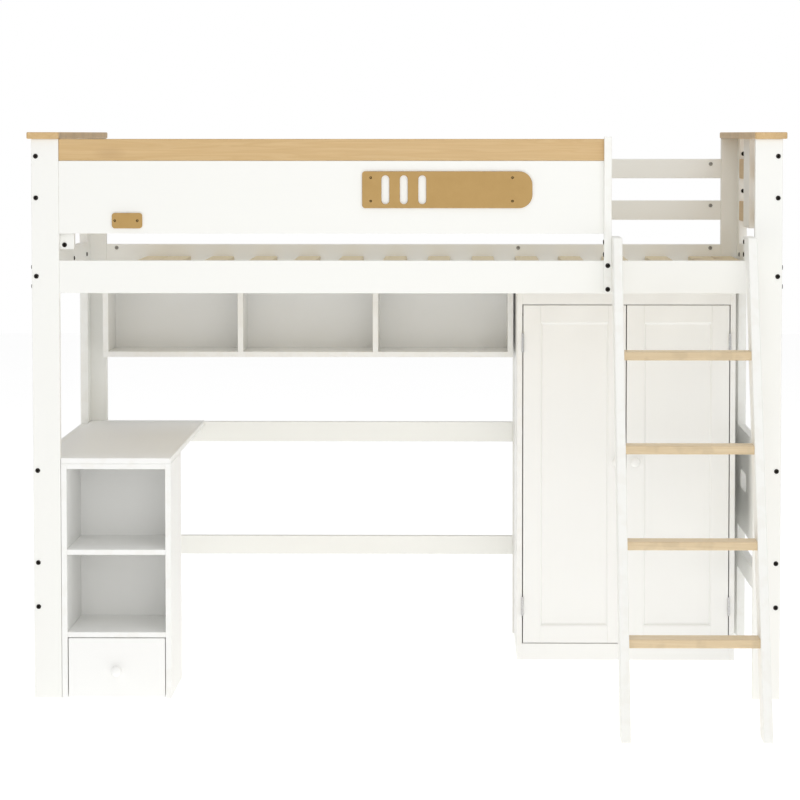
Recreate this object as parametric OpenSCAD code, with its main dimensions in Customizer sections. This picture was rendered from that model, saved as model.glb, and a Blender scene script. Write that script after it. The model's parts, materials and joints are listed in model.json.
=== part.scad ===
// Loft bed with a desk, a pedestal with a drawer, a hanging bookshelf, a wardrobe and a ladder.
// The front of the bed faces -Y, +Z is up, and the origin is on the floor at the middle of the whole.

/* [Bed frame] */
// Length over the posts
frame_l = 2000; // [1850:10:2500]
// Depth over the posts
frame_d = 1046; // [860:2:1400]
// Height of the posts
post_h = 1502; // [1450:2:1900]
// Width of a post's face board
post_w = 73; // [60:1:90]
// Depth of a post's side board
post_side = 60; // [45:1:80]
// Thickness of the boards in the front and rear planes
face_t = 22; // [18:1:30]
// Thickness of the boards in the end frames
end_t = 24; // [18:1:30]
// Thickness of a cap
cap_t = 18; // [12:1:30]
// Width of a cap
cap_w = 86; // [60:1:110]
// Overhang of a cap past the posts
cap_over = 11; // [4:1:20]
// Radius of a cap's corners
cap_corner = 6; // [2:1:12]

/* [Bed rails and slats] */
// Height of the post tops above the front bed rail
guard_rise = 324; // [300:2:420]
// Height of the front bed rail
front_rail_h = 87; // [70:1:110]
// Height of the rear bed rail
rear_rail_h = 92; // [70:1:120]
// Height of an end bed rail
end_rail_h = 110; // [80:1:130]
// How far an end bed rail stands above the front one
end_rail_up = 12; // [0:1:30]
// Drop from the front rail's top to the slats' top
slat_drop = 31; // [10:1:40]
// Number of slats
slat_count = 15; // [8:1:18]
// Width of a slat
slat_w = 66; // [40:1:80]
// Thickness of a slat
slat_t = 18; // [12:1:24]
// Gap from the left end rail to the first slat
slat_left_gap = 172; // [10:1:200]
// Gap from the right end rail to the last slat
slat_right_gap = 14; // [10:1:60]
// Side of a slat cleat
cleat_w = 22; // [16:1:30]
// Height of a slat cleat
cleat_h = 30; // [20:1:40]
// Height of the centre beam
beam_h = 36; // [28:1:60]

/* [Guards] */
// Height of the front guard panel
panel_h = 194; // [140:1:230]
// Height of the strip on the front guard panel
strip_h = 58; // [30:1:80]
// Thickness of the front guard panel
panel_t = 18; // [12:1:22]
// Width of the guard's end post
guard_post_w = 20; // [16:1:40]
// Height of the guard's end post above the corner posts
guard_post_up = 6; // [0:1:16]
// Width of the batten behind the guard panel
batten_w = 83; // [60:1:110]
// How far the batten hangs below the guard panel
batten_drop = 43; // [20:1:60]
// Height of an end or rear guard rail
guard_rail_h = 58; // [40:1:70]
// Space between two guard rails
guard_rail_gap = 67; // [40:1:90]
// Drop from the post tops to the upper guard rails
guard_rail_drop = 62; // [40:1:90]
// How far the batten reaches past the corner post
batten_reach = 38; // [30:1:60]
// Gap between the guard panel and the ladder
guard_gap = 2; // [1:0.5:6]
// Width of the board in the middle of an end guard
centre_board_w = 160; // [100:1:220]
// Length of the large plaque
plaque_l = 453; // [300:1:560]
// Height of the large plaque
plaque_h = 98; // [60:1:120]
// Radius of the large plaque's round end
plaque_r = 36; // [12:1:48]
// Radius of a plaque's other corners
plaque_corner = 8; // [3:1:12]
// Height of the large plaque's middle above the guard panel's middle
plaque_up = 20; // [0:1:30]
// Width of a slot in the large plaque
plaque_slot_w = 21; // [10:1:26]
// Distance from the large plaque's end to the middle of its first slot
plaque_slot_first = 62; // [50:1:90]
// Distance between two slots
plaque_slot_pitch = 49; // [36:1:60]
// Thickness of a plaque
plaque_t = 5; // [3:1:9]
// Distance from the large plaque to the guard's end post
plaque_end_gap = 190; // [60:1:400]
// Length of the small plaque
badge_l = 81; // [50:1:120]
// Height of the small plaque
badge_h = 41; // [25:1:60]
// Distance from the corner post to the small plaque
badge_gap = 142; // [60:1:300]
// Height of the small plaque above the guard panel's lower edge
badge_up = 14; // [6:1:60]

/* [Lower frame] */
// Height of the end panel's lower edge
end_panel_z = 345; // [300:1:420]
// Height of an end panel
end_panel_h = 299; // [200:1:340]
// Length of a slot in an end panel
slot_l = 180; // [100:1:240]
// Height of a slot in an end panel
slot_h = 53; // [30:1:80]
// Distance from a post's side board to the middle of a slot
slot_in = 170; // [140:1:260]
// Height of the foot rails' lower edge
foot_rail_z = 217; // [150:1:240]
// Height of an end foot rail
foot_rail_h = 60; // [40:1:80]
// Height of the rear foot rail's lower edge
rear_foot_z = 242; // [150:1:260]
// Height of the rear foot rail
rear_foot_h = 56; // [40:1:80]
// Height of the rear desk rail
desk_rail_h = 60; // [40:1:80]
// Drop from the desktop's top to the rear desk rail
desk_rail_drop = 4; // [0:1:20]
// Width of the middle rear leg
mid_leg_w = 32; // [28:1:60]

/* [Desk and pedestal] */
// Height of the desktop
desk_z = 649; // [600:1:760]
// Width of the desktop
desk_w = 294; // [280:1:500]
// Thickness of the desktop
desk_t = 16; // [12:1:25]
// Side of the desk's rear cleat
desk_cleat_w = 22; // [16:1:30]
// Distance from the desktop's ends to its rear cleat
desk_cleat_in = 10; // [0:1:60]
// Depth of the pedestal
pedestal_d = 285; // [270:1:420]
// Thickness of the pedestal's sides
side_t = 15; // [12:1:20]
// Thickness of the pedestal's shelves
shelf_t = 14; // [9:1:18]
// Thickness of the thin back panels
back_t = 5; // [3:1:8]
// Height of the drawer opening
drawer_bay_h = 165; // [140:1:200]
// Height of the pedestal's middle shelf
mid_shelf_z = 388; // [300:1:460]
// Height of the drawer box
drawer_box_h = 110; // [80:1:120]
// Thickness of the drawer's front
drawer_front_t = 16; // [12:1:20]
// Thickness of the drawer's sides
drawer_side_t = 12; // [9:1:15]
// Thickness of the drawer's bottom
drawer_bottom_t = 4; // [3:1:8]
// Height of the drawer's bottom above its sides' lower edges
drawer_bottom_up = 8; // [5:1:15]
// Gap between a side of the drawer box and the pedestal
drawer_box_gap = 13; // [6:1:20]
// Gap between the drawer box and the pedestal's back
drawer_back_gap = 30; // [10:1:60]
// Height of the drawer box above the runners' height
drawer_box_up = 6; // [4:1:12]
// Width of a drawer runner
runner_w = 26; // [20:1:34]
// Height of a drawer runner
runner_h = 12; // [8:1:16]
// Gap between the drawer's front and its runners
runner_front_gap = 4; // [1:1:10]
// Drop from the middle of the drawer opening to its knob
drawer_knob_drop = 7; // [0:1:20]
// Diameter of a knob
knob_d = 29; // [20:1:40]
// How far a knob stands out
knob_l = 24; // [16:1:34]
// Length of the stud behind a knob
knob_stud_l = 10; // [6:1:12]

/* [Bookshelf] */
// Height of the bookshelf
shelf_h = 244; // [200:1:300]
// Depth of the bookshelf
shelf_d = 182; // [140:1:240]
// Thickness of the bookshelf's boards
shelf_board_t = 16; // [12:1:20]
// Number of its compartments
bays = 3; // [2:1:4]
// Gap from the corner post to the bookshelf
shelf_post_gap = 11; // [4:1:30]

/* [Wardrobe] */
// Width of the wardrobe
robe_w = 626; // [520:1:760]
// Depth of the wardrobe
robe_d = 442; // [350:1:520]
// Gap between the wardrobe and the end frame
robe_gap = 44; // [36:1:80]
// Gap between the wardrobe's top and the front bed rail
robe_top_gap = 16; // [6:1:40]
// Gap between the wardrobe and the rear frame
robe_rear_gap = 2; // [1:0.5:6]
// How far the middle rear leg stands past the wardrobe
mid_leg_out = 5; // [2:1:12]
// Gap between the bookshelf and the middle rear leg
shelf_leg_gap = 2; // [1:0.5:6]
// Height of the plinth
plinth_h = 48; // [40:1:100]
// Height of the rail above the doors, with the top board
header_h = 48; // [40:1:100]
// Thickness of a door
door_t = 18; // [16:1:22]
// Width of a door's stiles and rails
door_rail_w = 50; // [40:1:70]
// Thickness of a door's panel
door_panel_t = 6; // [4:1:8]
// How far a door's panel sits in its frame
panel_tongue = 8; // [5:1:12]
// Height of the door knobs above the floor
door_knob_z = 575; // [450:1:700]
// Distance from a door's free edge to its knob
door_knob_in = 25; // [20:1:50]
// Length of a hinge
hinge_l = 54; // [40:1:80]
// Distance from a door's end to the middle of a hinge
hinge_in = 107; // [60:1:160]
// Outer diameter of a hinge's barrel
barrel_d = 6.4; // [5:0.2:9]
// Diameter of a hinge pin
hinge_pin_d = 3; // [2.4:0.2:4]
// Thickness of a hinge leaf
leaf_t = 1; // [0.8:0.1:1.1]
// Depth of a hinge leaf on the wood
leaf_d = 16; // [12:0.5:17]
// Distance from a door's face to the full length of its hinge leaves
leaf_in = 0.7; // [0.4:0.1:3]
// Diameter of the hanging rod
rod_d = 25; // [18:1:32]
// Distance from the wardrobe's top board to the hanging rod
rod_drop = 62; // [50:1:120]
// Wall of a rod socket
cup_wall = 6; // [3:1:10]
// Depth of a rod socket
cup_t = 12; // [8:1:20]
// Gap between the hanging rod's ends and the wardrobe's sides
rod_end_gap = 4; // [2:0.5:6]

/* [Ladder] */
// Length of a tread between the ladder's stiles
tread_l = 330; // [280:1:420]
// Thickness of a ladder stile
stile_t = 24; // [18:1:30]
// Depth of a ladder stile at the floor
stile_d = 90; // [70:1:110]
// How far the ladder's foot stands in front of the posts
ladder_foot = 576; // [420:2:700]
// How far the ladder's top stands in front of the posts
ladder_head = 100; // [96:1:130]
// How far the ladder rises above the front bed rail
ladder_up = 65; // [56:1:90]
// How far the ladder's nose reaches behind the front plane
nose_in = 30; // [24:1:60]
// Number of treads
tread_count = 4; // [2:1:5]
// Thickness of a tread
tread_t = 22; // [18:1:30]
// Depth of a tread
tread_d = 72; // [60:1:85]
// Height of the lowest tread
tread_first = 245; // [200:1:300]
// Drop from the front bed rail's top to the highest tread
tread_last_drop = 228; // [200:1:300]
// Gap between the ladder and the corner post
ladder_gap = 4; // [2:1:10]
// Depth of a tread's housing in a stile
housing = 8; // [4:1:12]

/* [Fasteners and clearances] */
// Diameter of a bolt's shank
bolt_d = 6; // [5:0.5:8]
// Diameter of a bolt's head
head_d = 13; // [10:0.5:16]
// Height of a bolt's head
head_h = 2.6; // [2:0.2:4]
// Size of the hexagon in a bolt's head, across corners
hex_d = 5; // [4:0.5:7]
// Diameter of a barrel nut
nut_d = 11; // [10:0.5:13]
// Length of a barrel nut
nut_l = 14; // [10:1:16]
// Distance from a post to the barrel nuts
nut_in = 31; // [25:1:45]
// Distance from the post tops to the upper guard bolts
guard_bolt_drop = 46; // [25:1:80]
// Distance between the guard bolts
guard_bolt_gap = 111; // [60:1:160]
// Distance from an end bed rail's top to its bolts
end_rail_bolt_drop = 54; // [30:1:80]
// Distance from an end panel's top to its upper bolts
panel_bolt_drop = 29; // [15:1:60]
// Distance from an end panel's lower edge to its lower bolts
panel_bolt_up = 22; // [15:1:60]
// Distance from a foot rail's lower edge to its bolts
foot_bolt_up = 31; // [15:1:45]
// Distance from a bed rail's edges to its long bolts
rail_bolt_in = 18; // [12:1:30]
// Distance from the rear bed rail's top to its upper long bolts
rear_bolt_drop = 11; // [8:1:30]
// Distance from a rear guard rail's top to its long bolts
guard_rail_bolt_drop = 15; // [10:1:40]
// How deep a bolt reaches into an end board
end_grip = 40; // [20:1:60]
// How deep a guard bolt reaches into the side board
guard_grip = 36; // [20:1:50]
// How far a long bolt reaches past its nut
nut_grip = 10; // [7:1:20]
// Height of the lower ladder bolts above the front bed rail
ladder_bolt_up = 17; // [10:1:30]
// Distance between the ladder bolts
ladder_bolt_gap = 33; // [20:1:40]
// How deep the right ladder bolts reach into the corner post
ladder_grip = 40; // [20:1:60]
// Wood left in front of a bolt's or a screw's blind end
blind_end = 4; // [2:0.5:6]
// Distance from the front bed rail's edges to the guard post's bolts
guard_post_bolt_in = 12; // [8:1:25]
// Distance from the batten's corner to its bolt, both ways
batten_bolt_in = 12; // [8:1:20]
// Drop from the front bed rail's top to the short bolts inside the end rails
inner_bolt_drop = 22; // [10:1:60]
// Distance from the bed's middle to the first short bolt
inner_bolt_y = 140; // [60:1:300]
// Distance from the rear post to the second short bolt
inner_bolt_in = 20; // [12:1:60]
// Distance from the large plaque's square end to its first screws
plaque_screw_left = 23; // [12:1:40]
// Distance from the large plaque's round end to its last screws
plaque_screw_right = 53; // [40:1:90]
// Distance from the large plaque's upper edge to its screws
plaque_screw_drop = 17; // [10:1:25]
// Distance from the large plaque's lower edge to its screws
plaque_screw_up = 19; // [10:1:25]
// Distance from the small plaque's left end to its screw
badge_screw_left = 8; // [6:1:20]
// Distance from the small plaque's right end to its screw
badge_screw_right = 13; // [6:1:20]
// Depth of the hexagon in a barrel nut
nut_socket = 3; // [2:0.5:5]
// Diameter of a plaque screw's head
screw_head_d = 8; // [6:0.5:10]
// Diameter of a plaque screw
screw_d = 3.6; // [3:0.2:5]
// Radial gap between a bolt or nut and its hole
hole_gap = 0.2; // [0.1:0.05:0.5]
// Gap between boards that stand side by side
board_gap = 1; // [0.5:0.5:3]
// Gap beside the doors and between them
door_gap = 2.7; // [2.4:0.1:4]
// Gap over and under the doors
door_end_gap = 2; // [1.5:0.1:4]
// Gap around the drawer's front
drawer_gap = 2; // [1.5:0.1:4]
// Gap between a resting board and the board beside it
rest_gap = 2; // [1:0.5:4]
// Gap between a hinge's knuckles
knuckle_gap = 0.3; // [0.1:0.1:0.6]
// Gap between sliding and resting pieces on different bodies
slide_gap = 0.4; // [0.3:0.1:1]
// Radial gap of a hinge pin in a door's leaf
pin_gap = 0.05; // [0.02:0.01:0.1]

/* [Hidden] */
$fn = 48;
white = [0.93, 0.93, 0.91];
pine = [0.84, 0.73, 0.54];
tan_wood = [0.77, 0.62, 0.37];
dark_metal = [0.16, 0.15, 0.14];
zinc = [0.62, 0.62, 0.60];
tiny = 0.01;
cut = 1;

// The ladder's foot is the frontmost point, and the caps' rear ends are the rearmost.
mid_y = (frame_d + cap_over - ladder_foot) / 2;
half_l = frame_l / 2;
post_in = half_l - post_w;
end_in = half_l - end_t;
rear_y = frame_d - face_t;
span_y0 = face_t + post_side;
span_y1 = rear_y - post_side;
bed_mid_y = frame_d / 2;

// Heights
rail_z = post_h - guard_rise;
front_rail_z0 = rail_z - front_rail_h;
rear_rail_z0 = front_rail_z0;
rear_rail_z1 = rear_rail_z0 + rear_rail_h;
end_rail_z1 = rail_z + end_rail_up;
slat_z1 = rail_z - slat_drop;
slat_z0 = slat_z1 - slat_t;
cleat_z0 = slat_z0 - cleat_h;
panel_z1 = post_h - strip_h;
panel_z0 = panel_z1 - panel_h;
guard_rail_top = post_h - guard_rail_drop - guard_rail_h;
guard_rail_z = [guard_rail_top, guard_rail_top - guard_rail_h - guard_rail_gap];
desk_z0 = desk_z - desk_t;

// Bolts along Y at a post's outer edge: two in the guard, then one or two for each end board
bolt_x = half_l - end_t / 2;
guard_bolt_z = [post_h - guard_bolt_drop, post_h - guard_bolt_drop - guard_bolt_gap];
end_board_bolt_z = [
    end_rail_z1 - end_rail_bolt_drop, end_panel_z + end_panel_h - panel_bolt_drop,
    end_panel_z + panel_bolt_up, foot_rail_z + foot_bolt_up
];
guard_bolt_l = face_t + guard_grip;
end_board_bolt_l = face_t + post_side + end_grip;

// Bolts along X through a post's face board into a rail, each with a barrel nut
rail_bolt_l = post_w + nut_in + nut_grip;
front_cross_z = [rail_z - rail_bolt_in, front_rail_z0 + rail_bolt_in];
rear_bed_cross_z = [rear_rail_z1 - rear_bolt_drop, rear_rail_z0 + rail_bolt_in];
rear_guard_cross_z = [for (z = guard_rail_z) z + guard_rail_h - guard_rail_bolt_drop];
rear_cross_z = concat(rear_bed_cross_z, rear_guard_cross_z);

// Ladder, drawn in the plane across the bed
ladder_x1 = post_in - ladder_gap;
ladder_x0 = ladder_x1 - 2 * stile_t - tread_l;
ladder_top = rail_z + ladder_up;
ladder_slope = (ladder_foot - ladder_head) / ladder_top;
tread_pitch = (rail_z - tread_last_drop - tread_first) / (tread_count - 1);
ladder_bolt_z = [rail_z + ladder_bolt_up, rail_z + ladder_bolt_up + ladder_bolt_gap];
guard_post_x = ladder_x0 - guard_post_w;
function ladder_front_y(z) = -ladder_foot + ladder_slope * z;

// Desk, pedestal and drawer
desk_x0 = -post_in + board_gap;
desk_x1 = desk_x0 + desk_w;
bay_x0 = desk_x0 + side_t;
bay_x1 = desk_x1 - side_t;
drawer_z0 = drawer_gap;
drawer_front_h = drawer_bay_h - 2 * drawer_gap;
drawer_box_x0 = bay_x0 + drawer_box_gap;
drawer_box_x1 = bay_x1 - drawer_box_gap;
drawer_box_z0 = runner_h + drawer_box_up;
drawer_back_y = pedestal_d - back_t - drawer_back_gap;
runner_z0 = drawer_box_z0 - slide_gap - runner_h;
drawer_knob_z = drawer_bay_h / 2 - drawer_knob_drop;
drawer_knob_x = (bay_x0 + bay_x1) / 2;

// Bookshelf, hung from the rear slat cleat
shelf_x0 = -post_in + shelf_post_gap;
robe_x1 = end_in - robe_gap;
robe_x0 = robe_x1 - robe_w;
mid_leg_x0 = robe_x0 - mid_leg_out;
shelf_x1 = mid_leg_x0 - shelf_leg_gap;
shelf_y1 = rear_y - board_gap;
shelf_y0 = shelf_y1 - shelf_d;
shelf_z1 = cleat_z0;
shelf_z0 = shelf_z1 - shelf_h;
bay_w = (shelf_x1 - shelf_x0 - (bays + 1) * shelf_board_t) / bays;

// Wardrobe and doors
robe_y1 = rear_y - robe_rear_gap;
robe_y0 = robe_y1 - robe_d;
robe_h = front_rail_z0 - robe_top_gap;
robe_mid_x = (robe_x0 + robe_x1) / 2;
door_w = (robe_w - 2 * side_t - 3 * door_gap) / 2;
door_z0 = plinth_h + door_end_gap;
door_z1 = robe_h - header_h - door_end_gap;
rod_z = robe_h - side_t - rod_drop;
rod_y = robe_y0 + robe_d / 2;
hinge_z = [door_z0 + hinge_in, door_z1 - hinge_in];
hinge_x = robe_x0 + side_t + door_gap / 2;
hinge_y = robe_y0 - barrel_d / 2 - knuckle_gap;
knuckle_l = hinge_l / 3;

// Plaques, and the lengths of the shorter bolts and screws
plaque_x1 = guard_post_x - plaque_end_gap;
plaque_x0 = plaque_x1 - plaque_l;
plaque_z0 = panel_z0 + (panel_h - plaque_h) / 2 + plaque_up;
badge_x0 = -post_in + badge_gap;
badge_z0 = panel_z0 + badge_up;
batten_bolt_l = cleat_w - blind_end;
ladder_left_bolt_l = guard_post_w + stile_t - blind_end / 2;
ladder_right_bolt_l = stile_t + ladder_gap + ladder_grip;
guard_post_bolt_l = 2 * face_t - blind_end;
plaque_screw_l = plaque_t + panel_t - blind_end;
end_rail_bolt_l = end_t - blind_end;

// The whole is moved so that the origin lies under its middle.
module placed() {
    translate([0, -mid_y, 0]) children();
}

// A board given by two opposite corners
module board(a, b) {
    translate(a) cube(b - a);
}

// Children on the right, or on both sides, of the bed's middle plane
module right_or_left(left) {
    mirror([left ? 1 : 0, 0, 0]) children();
}

module both_ends() {
    for (left = [false, true]) right_or_left(left) children();
}

// The same about the wardrobe's middle plane
module other_door(right) {
    translate([right ? 2 * robe_mid_x : 0, 0, 0]) mirror([right ? 1 : 0, 0, 0]) children();
}

// A bolt along +Z with its head below the origin, and the hole that it needs
module bolt(l) {
    translate([0, 0, -head_h]) difference() {
        cylinder(h = head_h, d = head_d);
        translate([0, 0, -tiny]) cylinder(h = head_h * 0.7, d = hex_d, $fn = 6);
    }
    cylinder(h = l, d = bolt_d);
}

module bolt_hole(l) {
    translate([0, 0, -cut]) cylinder(h = l + 2 * cut, r = bolt_d / 2 + hole_gap);
}

// A small countersunk screw along +Z with its head's top at the origin
module screw(l) {
    difference() {
        union() {
            cylinder(h = screw_head_d / 4, d1 = screw_head_d, d2 = screw_d);
            cylinder(h = l, d = screw_d);
        }
        translate([0, 0, -tiny]) cylinder(h = screw_head_d / 6, d = screw_d, $fn = 4);
    }
}

module screw_hole(l) {
    cylinder(h = screw_head_d / 4, d1 = screw_head_d + hole_gap, d2 = screw_d + hole_gap);
    cylinder(h = l + cut, d = screw_d + hole_gap);
}

// Places of the bolts. Each module puts its children at the bolt's seat, with +Z along the shank.

// Front posts: all from the front. Rear posts: the guard bolts from the front, the others from behind.
module at_guard_bolts() {
    both_ends() for (y = [0, span_y1], z = guard_bolt_z)
        translate([bolt_x, y, z]) rotate([-90, 0, 0]) children();
}

module at_front_board_bolts() {
    both_ends() for (z = end_board_bolt_z) translate([bolt_x, 0, z]) rotate([-90, 0, 0]) children();
}

module at_rear_board_bolts() {
    both_ends() for (z = end_board_bolt_z) translate([bolt_x, frame_d, z]) rotate([90, 0, 0]) children();
}

module at_cross_bolts() {
    both_ends() {
        for (z = front_cross_z) translate([half_l, face_t / 2, z]) rotate([0, -90, 0]) children();
        for (z = rear_cross_z)
            translate([half_l, frame_d - face_t / 2, z]) rotate([0, -90, 0]) children();
    }
}

// Two short bolts in each end bed rail, from inside
module at_end_rail_bolts() {
    both_ends() for (y = [bed_mid_y + inner_bolt_y, span_y1 - inner_bolt_in])
        translate([end_in, y, rail_z - inner_bolt_drop]) rotate([0, 90, 0]) children();
}

// The guard's end post to the front bed rail, from the front
module at_guard_post_bolts() {
    for (z = [rail_z - guard_post_bolt_in, front_rail_z0 + guard_post_bolt_in])
        translate([guard_post_x + guard_post_w / 2, -face_t, z]) rotate([-90, 0, 0]) children();
}

// The batten to the guard panel, from the front, just below the panel's edge
module at_batten_bolt() {
    translate([-post_in + batten_bolt_in, face_t, panel_z0 - batten_drop + batten_bolt_in])
        rotate([-90, 0, 0]) children();
}

// The ladder to the guard's end post on its left, and to the corner post on its right
module at_left_ladder_bolts() {
    for (z = ladder_bolt_z) translate([guard_post_x, -face_t / 2, z]) rotate([0, 90, 0]) children();
}

module at_right_ladder_bolts() {
    for (z = ladder_bolt_z)
        translate([ladder_x1 - stile_t, face_t / 2, z]) rotate([0, 90, 0]) children();
}

// Barrel nuts lie across the rails, with their sockets in the rails' inner faces.
module at_barrel_nuts() {
    both_ends() {
        for (z = front_cross_z) translate([post_in - nut_in, face_t, z]) rotate([90, 0, 0]) children();
        for (z = rear_cross_z)
            translate([post_in - nut_in, rear_y, z]) rotate([-90, 0, 0]) children();
    }
    translate([mid_leg_x0 + mid_leg_w / 2, rear_y, rear_bed_cross_z[0]]) rotate([-90, 0, 0]) children();
}

module at_plaque_screws() {
    for (x = [plaque_x0 + plaque_screw_left, plaque_x1 - plaque_screw_right])
        for (z = [plaque_z0 + plaque_screw_up, plaque_z0 + plaque_h - plaque_screw_drop])
            translate([x, -plaque_t, z]) rotate([-90, 0, 0]) children();
    for (x = [badge_x0 + badge_screw_left, badge_x0 + badge_l - badge_screw_right])
        translate([x, -plaque_t, badge_z0 + badge_h / 2]) rotate([-90, 0, 0]) children();
}

// All holes that the bolts and nuts need in the frame's boards
module frame_holes() {
    at_guard_bolts() bolt_hole(guard_bolt_l);
    at_front_board_bolts() bolt_hole(end_board_bolt_l);
    at_rear_board_bolts() bolt_hole(end_board_bolt_l);
    at_end_rail_bolts() bolt_hole(end_rail_bolt_l);
}

module rail_holes() {
    at_cross_bolts() bolt_hole(rail_bolt_l);
    at_barrel_nuts() translate([0, 0, -cut]) cylinder(h = nut_l + 2 * cut, r = nut_d / 2 + hole_gap);
}

// Corner posts: a face board with a side board behind its outer edge
module corner_post(left, rear) {
    color(white) difference() {
        right_or_left(left) translate([0, rear ? frame_d : 0, 0]) mirror([0, rear ? 1 : 0, 0]) union() {
            board([post_in, 0, 0], [half_l, face_t, post_h]);
            board([end_in, face_t - tiny, 0], [half_l, face_t + post_side, post_h]);
        }
        frame_holes();
        at_cross_bolts() bolt_hole(rail_bolt_l);
        at_right_ladder_bolts() bolt_hole(ladder_right_bolt_l);
    }
}

module front_left_post() placed() corner_post(true, false);
module front_right_post() placed() corner_post(false, false);
module rear_left_post() placed() corner_post(true, true);
module rear_right_post() placed() corner_post(false, true);

// Caps: a board over each pair of posts, with rounded corners in plan
module cap(left) {
    corner_r = cap_corner;
    x1 = half_l + cap_over;
    color(pine) placed() right_or_left(left) translate([0, 0, post_h]) linear_extrude(cap_t) union() {
        translate([x1 - cap_w, -cap_over + corner_r])
            square([cap_w, frame_d + 2 * (cap_over - corner_r)]);
        translate([x1 - cap_w + corner_r, -cap_over])
            square([cap_w - 2 * corner_r, frame_d + 2 * cap_over]);
        for (x = [x1 - cap_w + corner_r, x1 - corner_r])
            for (y = [corner_r - cap_over, frame_d + cap_over - corner_r])
                translate([x, y]) circle(corner_r);
    }
}

module left_cap() cap(true);
module right_cap() cap(false);

// Boards of the end frames, between the side boards of the posts
module end_board(z0, z1) {
    board([end_in, span_y0, z0], [half_l, span_y1, z1]);
}

module bed_end_rails() {
    color(white) placed() difference() {
        both_ends() end_board(end_rail_z1 - end_rail_h, end_rail_z1);
        frame_holes();
    }
}

module end_guard_rails() {
    color(pine) placed() both_ends() for (z = guard_rail_z) end_board(z, z + guard_rail_h);
}

module end_centre_boards() {
    y0 = bed_mid_y - centre_board_w / 2;
    color(white) placed() both_ends()
        board([end_in - face_t, y0, panel_z0], [end_in, y0 + centre_board_w, post_h]);
}

module slot_at(y) {
    for (side = [-1, 1])
        translate([end_in - cut, y + side * (slot_l - slot_h) / 2, end_panel_z + end_panel_h / 2])
            rotate([0, 90, 0]) cylinder(h = end_t + 2 * cut, d = slot_h);
    translate([end_in - cut, y - (slot_l - slot_h) / 2, end_panel_z + (end_panel_h - slot_h) / 2])
        cube([end_t + 2 * cut, slot_l - slot_h, slot_h]);
}

module end_panel(left) {
    color(white) placed() difference() {
        right_or_left(left) difference() {
            end_board(end_panel_z, end_panel_z + end_panel_h);
            for (y = [span_y0 + slot_in, span_y1 - slot_in]) slot_at(y);
        }
        frame_holes();
    }
}

module left_end_panel() end_panel(true);
module right_end_panel() end_panel(false);

module end_foot_rails() {
    color(white) placed() difference() {
        both_ends() end_board(foot_rail_z, foot_rail_z + foot_rail_h);
        frame_holes();
    }
}

// Bed rails, between the corner posts
module front_bed_rail() {
    color(white) placed() difference() {
        board([-post_in, 0, front_rail_z0], [post_in, face_t, rail_z]);
        rail_holes();
        at_guard_post_bolts() bolt_hole(guard_post_bolt_l);
    }
}

module rear_bed_rail() {
    color(white) placed() difference() {
        board([-post_in, rear_y, rear_rail_z0], [post_in, frame_d, rear_rail_z1]);
        rail_holes();
    }
}

module rear_guard_rails() {
    color(white) placed() difference() {
        for (z = guard_rail_z) board([-post_in, rear_y, z], [post_in, frame_d, z + guard_rail_h]);
        rail_holes();
    }
}

module slat_cleats() {
    color(white) placed() for (y = [face_t, rear_y - cleat_w])
        board([-post_in, y, cleat_z0], [post_in, y + cleat_w, slat_z0]);
}

module centre_beam() {
    color(white) placed() board(
        [-end_in, bed_mid_y - face_t / 2, slat_z0 - beam_h],
        [end_in, bed_mid_y + face_t / 2, slat_z0]
    );
}

// Slats: one beside the other at each end, the rest evenly spread
module bed_slats() {
    first_x = -end_in + slat_left_gap;
    last_x = end_in - slat_right_gap - slat_w;
    inner_x0 = first_x + slat_w + board_gap;
    inner_x1 = last_x - slat_w - board_gap;
    pitch = (inner_x1 - inner_x0) / (slat_count - 3);
    inner = [for (i = [0 : slat_count - 3]) inner_x0 + i * pitch];
    color(pine) placed() for (x = concat([first_x], inner, [last_x]))
        board([x, face_t + rest_gap, slat_z0], [x + slat_w, rear_y - rest_gap, slat_z1]);
}

// Front guard: a panel with a strip on top, an end post in front of it and a batten behind it
module guard_panel() {
    color(white) placed() difference() {
        board([-post_in, 0, panel_z0], [ladder_x0 - guard_gap, panel_t, panel_z1]);
        at_plaque_screws() screw_hole(plaque_screw_l);
    }
}

module guard_top_strip() {
    color(pine) placed() board([-post_in, 0, panel_z1], [ladder_x0 - guard_gap, face_t, post_h]);
}

module guard_end_post() {
    color(white) placed() difference() {
        board(
            [guard_post_x, -face_t, front_rail_z0 + board_gap],
            [guard_post_x + guard_post_w, 0, post_h + guard_post_up]
        );
        at_guard_post_bolts() bolt_hole(guard_post_bolt_l);
        at_left_ladder_bolts() bolt_hole(ladder_left_bolt_l);
    }
}

module guard_batten() {
    color(white) placed() difference() {
        board(
            [-post_in + batten_reach - batten_w, face_t, panel_z0 - batten_drop],
            [-post_in + batten_reach, face_t + cleat_w, panel_z1]
        );
        at_batten_bolt() bolt_hole(batten_bolt_l);
    }
}

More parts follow.
